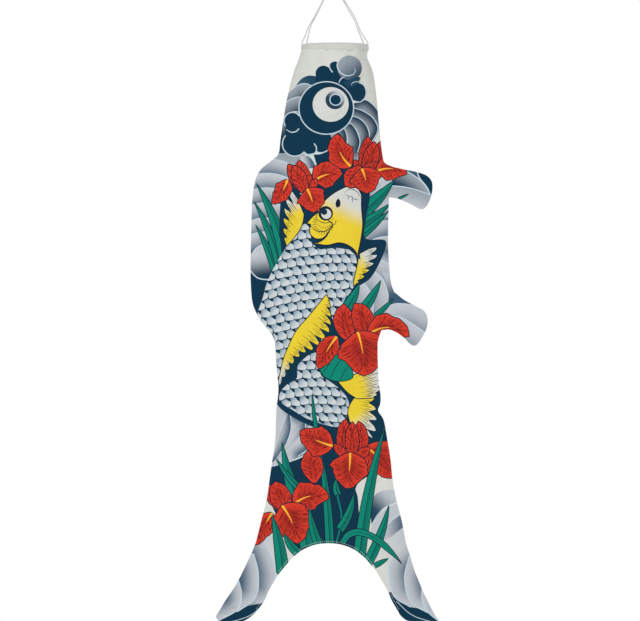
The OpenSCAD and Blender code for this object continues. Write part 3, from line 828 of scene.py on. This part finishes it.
def flat_triangles():
    """The whole face of the cloth as flat triangles, with every ink edge among their sides."""
    paths = [(OUTLINE, True)] + [(np.linspace(a, b, 40), False) for a, b in FOLDS.values()]
    clips = {id(clip): clip for _, _, clip in LAYERS if clip is not None}
    paths += [(clip, True) for clip in clips.values()]
    paths += [(outline, True) for outline, _, _ in LAYERS]
    limits = [None] * (1 + len(FOLDS) + len(clips)) + [clip for _, _, clip in LAYERS]
    loose = loose_points()
    verts, edges = [loose], []
    count = len(loose)
    for (path, closed), limit in zip(paths, limits):
        n = len(path)
        keep = inside(path, OUTLINE)
        if path is OUTLINE:
            keep[:] = True
        elif limit is not None:
            keep &= inside(path, limit)
        sides = n if closed else n - 1
        ends = np.column_stack([np.arange(n), (np.arange(n) + 1) % n])[:sides]
        edges.append(ends[keep[ends[:, 0]] | keep[ends[:, 1]]] + count)
        verts.append(path)
        count += n
    verts, edges = np.vstack(verts), np.vstack(edges)
    used = np.zeros(len(verts), bool)
    used[: len(loose)] = True
    used[edges.ravel()] = True
    number = np.cumsum(used) - 1
    verts, edges = verts[used], number[edges]
    result = delaunay_2d_cdt([Vector(p) for p in verts.tolist()], edges.tolist(), [], 0, MERGE_GAP)
    uv = np.array([tuple(p) for p in result[0]])
    triangles = np.array([f for f in result[2] if len(f) == 3])
    middles = uv[triangles].mean(axis=1)
    triangles = triangles[inside(middles, OUTLINE)]
    a, b, c = (uv[triangles[:, i]] for i in range(3))
    turn = (b[:, 0] - a[:, 0]) * (c[:, 1] - a[:, 1]) - (b[:, 1] - a[:, 1]) * (c[:, 0] - a[:, 0])
    triangles[turn < 0] = triangles[turn < 0][:, ::-1]
    return uv, triangles[np.abs(turn) > SLIVER]


def ink_triangles(uv, triangles):
    """The ink at each corner of each triangle, from the topmost shape that it lies in."""
    middles = uv[triangles].mean(axis=1)
    top = np.zeros(len(triangles), int)
    order = np.argsort(middles[:, 1])
    heights = middles[order, 1]
    for i, (outline, _, clip) in enumerate(LAYERS):
        low, high = outline.min(axis=0), outline.max(axis=0)
        first, last = np.searchsorted(heights, (low[1], high[1]))
        near = order[first:last]
        near = near[(middles[near, 0] > low[0]) & (middles[near, 0] < high[0])]
        hit = inside(middles[near], outline)
        if clip is not None:
            hit &= inside(middles[near], clip)
        top[near[hit]] = i
    inks = np.zeros((len(triangles), 3, 3))
    order = np.argsort(top, kind="stable")
    starts = np.searchsorted(top[order], np.arange(len(LAYERS) + 1))
    for (_, ink, _), first, last in zip(LAYERS, starts, starts[1:]):
        if last > first:
            chosen = order[first:last]
            corners = uv[triangles[chosen]].reshape(-1, 2)
            inks[chosen] = np.asarray(ink(corners)).reshape(-1, 3, 3)
    return inks


# ---- Making meshes ------------------------------------------------------------------------------


def add_object(name, verts, faces, material, smooth=True):
    """A mesh object with one material. verts and faces are lists or arrays."""
    mesh = bpy.data.meshes.new(name)
    mesh.from_pydata([tuple(v) for v in verts], [], [tuple(f) for f in faces])
    mesh.polygons.foreach_set("use_smooth", [smooth] * len(mesh.polygons))
    mesh.update()
    obj = bpy.data.objects.new(name, mesh)
    bpy.context.scene.collection.objects.link(obj)
    mesh.materials.append(material)
    return obj


def apply_modifiers(obj):
    bpy.context.view_layer.update()
    mesh = bpy.data.meshes.new_from_object(obj.evaluated_get(bpy.context.evaluated_depsgraph_get()))
    obj.modifiers.clear()
    obj.data = mesh


def normals_of(points, triangles):
    a, b, c = (points[triangles[:, i]] for i in range(3))
    face = np.cross(b - a, c - a)
    out = np.zeros_like(points)
    for i in range(3):
        np.add.at(out, triangles[:, i], face)
    return out / np.maximum(np.linalg.norm(out, axis=1, keepdims=True), 1e-15)


REVERSE_INK = 0.45  # how much of the ink shows on the cloth's reverse


def add_cloth(name, points, normals, triangles, inks, material):
    """One piece of cloth as a closed thin shell: its face, its reverse and its cut edges."""
    used, number = np.unique(triangles, return_inverse=True)
    tris = number.reshape(-1, 3)
    outer, n = points[used], len(used)
    inner = outer - normals[used] * CLOTH_T
    edge_ends = np.vstack([tris[:, [0, 1]], tris[:, [1, 2]], tris[:, [2, 0]]])
    owner = np.tile(np.arange(len(tris)), 3)
    _, first, times = np.unique(np.sort(edge_ends, axis=1), axis=0, return_index=True, return_counts=True)
    rim = first[times == 1]
    a, b = edge_ends[rim, 0], edge_ends[rim, 1]
    rims = np.vstack([np.column_stack([b, a, a + n]), np.column_stack([b, a + n, b + n])])
    faces = np.vstack([tris, tris[:, ::-1] + n, rims])
    rim_ink = np.repeat(inks[owner[rim], 0][:, None], 3, axis=1)
    reverse = inks[:, ::-1] * REVERSE_INK + CLOTH * (1 - REVERSE_INK)
    colours = np.vstack([inks, reverse, rim_ink, rim_ink])
    obj = add_object(name, np.vstack([outer, inner]), faces, material)
    mesh = obj.data
    attribute = mesh.color_attributes.new("print", "FLOAT_COLOR", "CORNER")
    rgba = np.ones((len(faces) * 3, 4), np.float32)
    rgba[:, :3] = colours.reshape(-1, 3)
    attribute.data.foreach_set("color", rgba.ravel())
    ends = np.zeros(len(mesh.edges) * 2, np.int32)
    mesh.edges.foreach_get("vertices", ends)

    def code(p, q):
        return np.minimum(p, q) * 2 * n + np.maximum(p, q)

    rim_codes = np.concatenate([code(a, b), code(a + n, b + n)])
    codes = code(ends[::2].astype(int), ends[1::2].astype(int))
    mesh.edges.foreach_set("use_edge_sharp", np.isin(codes, rim_codes))
    return obj


CORD_LAY = 0.0062  # one full turn of the plies
CORD_STEP = 0.0005
CORD_SIDES = 18


def rope(name, path, diameter, closed=False):
    """A three-ply cotton cord along points, with its plies as ridges that wind round it."""
    fine = curve(path, CORD_STEP, closed)
    steps = np.roll(fine, -1, axis=0) - fine
    tangents = np.roll(fine, -1, axis=0) - np.roll(fine, 1, axis=0) if closed else np.gradient(fine, axis=0)
    tangents /= np.linalg.norm(tangents, axis=1, keepdims=True)
    run = np.concatenate([[0], np.cumsum(np.linalg.norm(steps, axis=1))[:-1]])
    side = np.cross(tangents[0], (0.3, 0.9, 0.1))
    across = []
    for t in tangents:
        side = side - t * (side @ t)
        side /= np.linalg.norm(side)
        across.append(side)
    across = np.array(across)
    other = np.cross(tangents, across)
    count = CORD_SIDES
    w = np.arange(count) * 2 * math.pi / count
    ply = np.abs(np.cos(1.5 * (w[None] - 2 * math.pi * run[:, None] / CORD_LAY)))
    radius = diameter / 2 * (0.9 + 0.16 * ply)
    points = fine[:, None] + radius[..., None] * (np.cos(w)[None, :, None] * across[:, None]
                                                  + np.sin(w)[None, :, None] * other[:, None])
    rings = len(fine)
    faces = []
    for i in range(rings if closed else rings - 1):
        j = (i + 1) % rings
        faces += [(i * count + q, i * count + (q + 1) % count, j * count + (q + 1) % count, j * count + q)
                  for q in range(count)]
    if not closed:
        faces += [list(range(count))[::-1], [(rings - 1) * count + q for q in range(count)]]
    return add_object(name, points.reshape(-1, 3), faces, CORD)


# ---- Materials ----------------------------------------------------------------------------------


class Nodes:
    """A material's nodes, with short ways to add and join them."""

    def __init__(self, name, **constants):
        self.material = bpy.data.materials.new(name)
        self.material.use_nodes = True
        self.tree = self.material.node_tree
        self.shader = self.tree.nodes["Principled BSDF"]
        for socket, value in constants.items():
            self.shader.inputs[socket.replace("_", " ")].default_value = value
        self.coords = self.add("ShaderNodeTexCoord").outputs["Object"]

    def add(self, kind, inputs=None, **settings):
        """A new node, with its inputs joined to sockets or set to values."""
        node = self.tree.nodes.new(kind)
        for key, value in settings.items():
            setattr(node, key, value)
        for key, value in (inputs or {}).items():
            if isinstance(value, bpy.types.NodeSocket):
                self.tree.links.new(value, node.inputs[key])
            else:
                node.inputs[key].default_value = value
        return node

    def rgb(self, colour):
        node = self.add("ShaderNodeRGB")
        node.outputs[0].default_value = (*colour, 1)
        return node.outputs[0]

    def noise(self, scale, detail=3.0, stretch=(1, 1, 1)):
        mapped = self.add("ShaderNodeMapping", {"Vector": self.coords, "Scale": stretch})
        inputs = {"Vector": mapped.outputs[0], "Scale": scale, "Detail": detail}
        return self.add("ShaderNodeTexNoise", inputs).outputs["Fac"]

    def wave(self, scale, direction):
        inputs = {"Vector": self.coords, "Scale": scale, "Distortion": 0.6, "Detail": 1.0}
        return self.add("ShaderNodeTexWave", inputs, bands_direction=direction).outputs["Fac"]

    def product(self, *factors):
        """All the factors multiplied together."""
        value = factors[0]
        for factor in factors[1:]:
            value = self.add("ShaderNodeMath", {0: value, 1: factor}, operation="MULTIPLY").outputs[0]
        return value

    def spread(self, value, low, high, start=0.25, end=0.75):
        """The value, with start to end stretched to low to high."""
        inputs = {"Value": value, "From Min": start, "From Max": end, "To Min": low, "To Max": high}
        return self.add("ShaderNodeMapRange", inputs).outputs[0]

    def tint(self, colour, factor):
        """The colour, brightened or darkened by a factor."""
        return self.add("ShaderNodeVectorMath", {0: colour, "Scale": factor}, operation="SCALE").outputs[0]

    def finish(self, colour, rough, height, depth, strength):
        """Join colour, roughness and bump to the shader."""
        bump = self.add("ShaderNodeBump", {"Height": height, "Distance": depth, "Strength": strength})
        links = self.tree.links
        links.new(colour, self.shader.inputs["Base Color"])
        links.new(rough, self.shader.inputs["Roughness"])
        links.new(bump.outputs[0], self.shader.inputs["Normal"])
        return self.material


THREAD_PITCH = 0.0007
WAVE_PERIOD = 0.314  # of a wave texture of scale 1, in metres


def weave(nodes):
    """The over and under of a plain weave."""
    scale = WAVE_PERIOD / THREAD_PITCH
    return nodes.product(nodes.wave(scale, "X"), nodes.wave(scale, "Z"))


def printed_cloth():
    nodes = Nodes("printed_cloth", Sheen_Weight=0.06, Sheen_Roughness=0.5, Specular_IOR_Level=0.12)
    ink = nodes.add("ShaderNodeAttribute", attribute_name="print").outputs["Color"]
    threads = weave(nodes)
    cloudy = nodes.spread(nodes.noise(34, 4), 0.95, 1.04)
    thready = nodes.spread(nodes.noise(900, 2, (1, 1, 0.15)), 0.97, 1.03)
    grain = nodes.spread(threads, 0.94, 1.05, 0, 1)
    colour = nodes.tint(ink, nodes.product(cloudy, thready, grain))
    return nodes.finish(colour, nodes.spread(nodes.noise(60), 0.74, 0.88), threads, 0.0002, 0.35)


def plain_cloth(name, tone):
    nodes = Nodes(name, Sheen_Weight=0.06, Sheen_Roughness=0.5, Specular_IOR_Level=0.12)
    threads = weave(nodes)
    cloudy = nodes.spread(nodes.noise(40, 4), 0.94, 1.04)
    grain = nodes.spread(threads, 0.92, 1.05, 0, 1)
    colour = nodes.tint(nodes.rgb(tone), nodes.product(cloudy, grain))
    return nodes.finish(colour, nodes.spread(nodes.noise(60), 0.76, 0.9), threads, 0.0002, 0.5)


def cotton(name, tone):
    nodes = Nodes(name, Sheen_Weight=0.35, Sheen_Roughness=0.6, Specular_IOR_Level=0.2)
    fibres = nodes.noise(2600, 4, (1, 1, 0.25))
    factor = nodes.product(nodes.spread(fibres, 0.86, 1.06), nodes.spread(nodes.noise(160), 0.95, 1.03))
    colour = nodes.tint(nodes.rgb(tone), factor)
    return nodes.finish(colour, nodes.spread(fibres, 0.78, 0.95), fibres, 0.0003, 0.6)


def steel():
    nodes = Nodes("swivel_steel", Metallic=1.0, Anisotropic=0.3)
    scratches = nodes.noise(1800, 3, (1, 1, 8))
    factor = nodes.product(nodes.spread(scratches, 0.9, 1.05), nodes.spread(nodes.noise(300), 0.9, 1.06))
    colour = nodes.tint(nodes.rgb((0.62, 0.63, 0.65)), factor)
    return nodes.finish(colour, nodes.spread(scratches, 0.2, 0.36), scratches, 0.00005, 0.3)


def moulded(name, tone, rough):
    nodes = Nodes(name, Specular_IOR_Level=0.5)
    grain = nodes.noise(900, 3)
    colour = nodes.tint(nodes.rgb(tone), nodes.spread(nodes.noise(60), 0.92, 1.05))
    return nodes.finish(colour, nodes.spread(grain, rough - 0.06, rough + 0.08), grain, 0.0001, 0.2)


def paper():
    nodes = Nodes("floor_paper", Specular_IOR_Level=0.2)
    grain = nodes.noise(120, 3)
    colour = nodes.tint(nodes.rgb((0.8, 0.8, 0.79)), nodes.spread(grain, 0.98, 1.01))
    return nodes.finish(colour, nodes.spread(grain, 0.85, 0.95), grain, 0.0002, 0.1)


CLOTH_INK = printed_cloth()
CASING_CLOTH = plain_cloth("casing_cloth", linear(203, 206, 200))
CORD = cotton("cord_cotton", linear(206, 207, 204))
THREAD = cotton("sewing_thread", linear(222, 226, 228))
STEEL = steel()
HOOP_PLASTIC = moulded("hoop_plastic", linear(226, 228, 226), 0.4)
JOINER_PLASTIC = moulded("joiner_plastic", linear(70, 72, 76), 0.5)


def dress(node, material):
    """Give a CAD node its finished material."""
    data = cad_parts[node].data
    data.materials.clear()
    data.materials.append(material)


for node in ("swivel_upper_eye", "swivel_barrel", "swivel_lower_eye"):
    dress(node, STEEL)
dress("mouth_hoop", HOOP_PLASTIC)
dress("hoop_joiner", JOINER_PLASTIC)

# ---- The bridle ---------------------------------------------------------------------------------

CORD_D = 0.002
STRAND_D = CORD_D * 0.96  # between the plies' ridges and hollows
# From the mouth up to the knot, in millimetres.
ROUTES = {
    "left_outer": [(-50.5, 0, -142), (-46.5, 0.2, -133), (-42, 0.4, -121), (-38.5, 0.6, -113), (-28, 1, -95),
                   (-16.5, 1.25, -73), (-9.5, 1.25, -58), (-1.5, 1.25, -42)],
    "left_inner": [(-42.5, 0, -142), (-40, -0.2, -131), (-38.2, -0.4, -121), (-35, -0.6, -112),
                   (-25, -1, -93), (-14.5, -1.25, -72), (-8, -1.25, -57), (-1.5, -1.25, -42)],
    "right_inner": [(54.5, 0, -142), (50.5, -0.1, -132), (45.8, -0.3, -121), (40.5, -0.6, -106),
                    (34.5, -1, -95), (28, -1.25, -84), (19.5, -1.25, -69), (10, -1.25, -54),
                    (1.5, -1.25, -42)],
    "right_outer": [(62.5, 0, -142), (56.5, 0.1, -133), (49.5, 0.3, -122), (43.8, 0.6, -106),
                    (38, 1, -95), (31.5, 1.25, -84), (22, 1.25, -69), (11.5, 1.25, -54),
                    (1.5, 1.25, -42)],
}
KNOT_LOW, KNOT_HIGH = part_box("bridle_knot")
KNOT_R = 0.0044
KNOT_Z = KNOT_LOW[2] + KNOT_R
KNOT_SIZE = 0.00105
LOOP_R = 0.0042
LOOP_Z = KNOT_HIGH[2] - CORD_D / 2 - LOOP_R
ROUTE_STEP = 0.004
CORD_SINK = 0.0025  # how far below the top of the mouth each strand ends, inside the hem


def make_bridle():
    """The knot with its loop, and the four strands down to the mouth."""
    w = np.arange(24) * 2 * math.pi / 24
    trefoil = np.column_stack([KNOT_SIZE * (np.sin(w) + 2 * np.sin(2 * w)), -KNOT_SIZE * 1.15 * np.sin(3 * w),
                               KNOT_Z + KNOT_SIZE * (np.cos(w) - 2 * np.cos(2 * w))])
    ring = np.column_stack([0 * w, LOOP_R * np.sin(w), LOOP_Z + LOOP_R * np.cos(w)])
    knot = rope("bridle_knot_tied", trefoil, CORD_D * 1.05, closed=True)
    loop = rope("bridle_knot_loop", ring, STRAND_D, closed=True)
    for piece in (knot, loop):
        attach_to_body(piece, "bridle")
        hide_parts("bridle_knot")
    for name, route in ROUTES.items():
        route = np.array(route, float) / 1000
        foot = route[0]
        path = curve(np.vstack([(foot[0], 0, TOP - CORD_SINK), route]), ROUTE_STEP)
        strand = rope(f"bridle_{name}", path, STRAND_D)
        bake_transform(strand)
        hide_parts(f"bridle_strand_{name}")


# ---- The mouth ----------------------------------------------------------------------------------

MOUTH_X = (CASING_LOW[0] + CASING_HIGH[0]) / 2
CASING_R = (CASING_HIGH[2] - CASING_LOW[2]) / 2
HOOP_R = (CASING_HIGH[0] - CASING_LOW[0]) / 2 - CASING_R
HOOP_Z = TOP - CASING_R
CORD_TURN_R = 0.0041  # from the middle of the hoop's tube to the cord round it
CORD_GAP = 0.0001


def make_cord_turns():
    """Each cord's turn round the hoop, inside the hem."""
    for side, name in ((-1, "left"), (1, "right")):
        middle = np.array([MOUTH_X + side * HOOP_R, 0, HOOP_Z])
        w = np.radians(np.arange(180, 361, 15))
        turn = middle + CORD_TURN_R * np.column_stack([np.cos(w), 0 * w, np.sin(w)])
        head = TOP - CORD_SINK - CORD_GAP
        path = np.vstack([[turn[0][0], 0, head], turn, [turn[-1][0], 0, head]])
        piece = rope(f"bridle_turn_{name}", path, STRAND_D)
        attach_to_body(piece, "sleeve")
        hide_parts(f"bridle_loop_{name}")


HEM_DROP = 2  # of the hem below the top of its solid, in millimetres
HEM_MIDDLE_R = 52.5
# The hem's section, from the outer seam up over the hoop and down inside: (radius, height).
HEM_PROFILE = [(55.8, -13.4), (56.8, -12.1), (57.6, -10.6), (58.3, -8.4), (58.5, -5.6), (57.6, -2.8),
               (55.6, -0.7), (52.6, 0), (49.6, -0.6), (47.4, -2.6), (46.5, -5.6), (47, -8.6),
               (48.8, -10.8), (51.6, -12.2), (54.2, -13), (55.2, -13.6)]
SLIT_HALF = CORD_D * 1.1
SLIT_DEPTH = 0.0022


def make_casing():
    """The hem round the hoop, puckered by its stitching and slit where each cord goes in."""
    profile = curve(HEM_PROFILE, 0.9)
    count = 240
    w = np.arange(count) * 2 * math.pi / count
    pucker = 0.12 * np.sin(37 * w) + 0.1 * np.sin(23 * w + 1.3) + 0.06 * np.sin(61 * w + 0.4)
    verts = []
    for i, angle in enumerate(w):
        for r, z in profile:
            low = ease((-z - 2.5) / 9)
            reach = (r + pucker[i] * low * np.sign(r - HEM_MIDDLE_R)) * K
            verts.append((MOUTH_X + reach * math.cos(angle), reach * math.sin(angle),
                          TOP + (z - HEM_DROP) * K))
    m = len(profile)
    slit_low = TOP - SLIT_DEPTH - HEM_DROP * K
    faces = []
    for i in range(count):
        j = (i + 1) % count
        for q in range(m - 1):
            face = (i * m + q, j * m + q, j * m + q + 1, i * m + q + 1)
            middle = np.mean([verts[c] for c in face], axis=0)
            if abs(middle[1]) > SLIT_HALF or middle[2] < slit_low:
                faces.append(face)
    obj = add_object("mouth_hem", verts, faces, CASING_CLOTH)
    solid = obj.modifiers.new("thickness", "SOLIDIFY")
    solid.thickness = CLOTH_T
    solid.offset = -1
    apply_modifiers(obj)
    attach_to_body(obj, "sleeve")
    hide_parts("mouth_casing")


STITCH = 0.0024
STITCH_GAP = 0.0011
STITCH_R = 0.00032
STITCH_SIDES = 6
STITCH_LIFT = 0.15  # of its middle off the cloth, in millimetres
STITCH_PROFILE = ((0, 0.2), (0.15, 0.85), (0.5, 1), (0.85, 0.85), (1, 0.2))  # (share of length, of radius)


def add_stitches(name, uv, side):
    """A row of stitches along a line of the cloth's face, as short round threads."""
    points = place(uv, side * (stand_out(uv) + STITCH_LIFT))
    run = np.concatenate([[0], np.cumsum(np.linalg.norm(np.diff(points, axis=0), axis=1))])
    n = STITCH_SIDES
    verts, faces = [], []
    for start in np.arange(STITCH_GAP, run[-1] - STITCH, STITCH + STITCH_GAP):
        a, b = (np.array([np.interp(q, run, points[:, i]) for i in range(3)])
                for q in (start, start + STITCH))
        across = np.cross((b - a) / np.linalg.norm(b - a), (0, 1, 0))
        first = len(verts)
        last = first + n * (len(STITCH_PROFILE) - 1)
        for t, r in STITCH_PROFILE:
            for w in range(n):
                angle = w * 2 * math.pi / n
                spoke = across * math.cos(angle) + np.array([0, 1, 0]) * math.sin(angle)
                verts.append(a + (b - a) * t + spoke * r * STITCH_R)
        for ring in range(first, last, n):
            faces += [(ring + w, ring + (w + 1) % n, ring + n + (w + 1) % n, ring + n + w) for w in range(n)]
        faces += [tuple(first + w for w in range(n - 1, -1, -1)), tuple(last + w for w in range(n))]
    return add_object(name, verts, faces, THREAD)


HEM_SEAM_V = 18.5
ARCH_SEAM_GAP = 3.2  # from the arch's edge, in millimetres
FACES = ((-1, "front"), (1, "back"))


def node_of(piece, face):
    """The name of the CAD node that a piece of one face stands for."""
    return f"{face}_{piece}" if piece in ("sleeve", "rear") else f"{piece}_{face}"


def attach(obj, piece):
    """Let a cloth object ride on its piece's body; one that spans a bend to the next body only has its
    transform baked.
    """
    body, other, start, end = PIECES[piece]
    if other is None:
        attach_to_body(obj, body)
    else:
        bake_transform(obj)


def make_stitches():
    """The seam that closes the hem round the hoop, and the narrow hem along the tail's arch."""
    u = np.linspace(-49, 59, 90)
    hem = np.column_stack([u, HEM_SEAM_V + 0.3 * np.sin(u / 4)])
    arch = curve(LEFT_TAIL_IN[6:] + ARCH[1:] + RIGHT_TAIL_IN[1:6])
    arch = arch + sideways(arch) * ARCH_SEAM_GAP
    high = arch[:, 1] < TAIL_V
    left = arch[:, 0] < ARCH_U
    for side, face in FACES:
        for seam, line, piece in (("hem", hem, "sleeve"), ("arch", arch[high], "rear"),
                                  ("left_tail", arch[~high & left], "left_tail"),
                                  ("right_tail", arch[~high & ~left], "right_tail")):
            obj = add_stitches(f"{seam}_seam_{face}", line, side)
            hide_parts(node_of(piece, face))
            if piece in ("sleeve", "rear"):
                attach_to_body(obj, piece)
            else:
                attach(obj, piece)


def make_cloth():
    """Both printed faces of the streamer, each in its seven pieces."""
    print_ground()
    print_rear_ground()
    print_tail()
    print_eye()
    print_leaves()
    print_carp()
    print_flowers()
    uv, triangles = flat_triangles()
    inks = ink_triangles(uv, triangles)
    y = stand_out(uv)
    names = piece_of(uv[triangles].mean(axis=1))
    for side, face in FACES:
        points = place(uv, side * y)
        tris, colours = (triangles, inks) if side > 0 else (triangles[:, ::-1], inks[:, ::-1])
        normals = normals_of(points, tris)
        for piece in PIECES:
            chosen = names == piece
            node = node_of(piece, face)
            obj = add_cloth(f"{node}_cloth", points, normals, tris[chosen], colours[chosen], CLOTH_INK)
            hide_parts(node)
            attach(obj, piece)


# ---- The studio ---------------------------------------------------------------------------------

FLOOR_DROP = 0.2
FLOOR_HALF = 1.5
AMBIENT = 0.67
AIM = Vector((0, 0, TOP - 0.45))
LAMPS = (  # name, place, size, power
    ("key", (-1.6, -2.6, 0.5), 1.6, 39),
    ("fill", (2.0, -2.2, -0.5), 2.0, 18),
    ("back", (0.8, 2.8, 0.2), 2.0, 34),
)


def make_floor():
    z = CAD_BOX[0][2] - FLOOR_DROP
    corners = [(x * FLOOR_HALF, y * FLOOR_HALF, z) for x, y in ((-1, -1), (1, -1), (1, 1), (-1, 1))]
    add_object("floor", corners, [(0, 1, 2, 3)], paper(), smooth=False)


def make_lights():
    """Three soft lamps, and a white world that is dimmer as a light than as a background."""
    scene = bpy.context.scene
    scene.view_settings.view_transform = "Standard"
    world = bpy.data.worlds.new("studio")
    scene.world = world
    world.use_nodes = True
    tree = world.node_tree
    background = tree.nodes["Background"]
    background.inputs["Color"].default_value = (1, 1, 1, 1)
    ray = tree.nodes.new("ShaderNodeLightPath")
    strength = tree.nodes.new("ShaderNodeMapRange")
    strength.inputs["To Min"].default_value = AMBIENT
    strength.inputs["To Max"].default_value = 1.0
    tree.links.new(ray.outputs["Is Camera Ray"], strength.inputs["Value"])
    tree.links.new(strength.outputs[0], background.inputs["Strength"])
    for name, location, size, power in LAMPS:
        light = bpy.data.lights.new(name, "AREA")
        light.size = size
        light.energy = power
        lamp = bpy.data.objects.new(name, light)
        lamp.location = location
        lamp.rotation_euler = (AIM - lamp.location).to_track_quat("-Z", "Y").to_euler()
        scene.collection.objects.link(lamp)


make_bridle()
make_cord_turns()
make_casing()
make_cloth()
make_stitches()
make_floor()
make_lights()
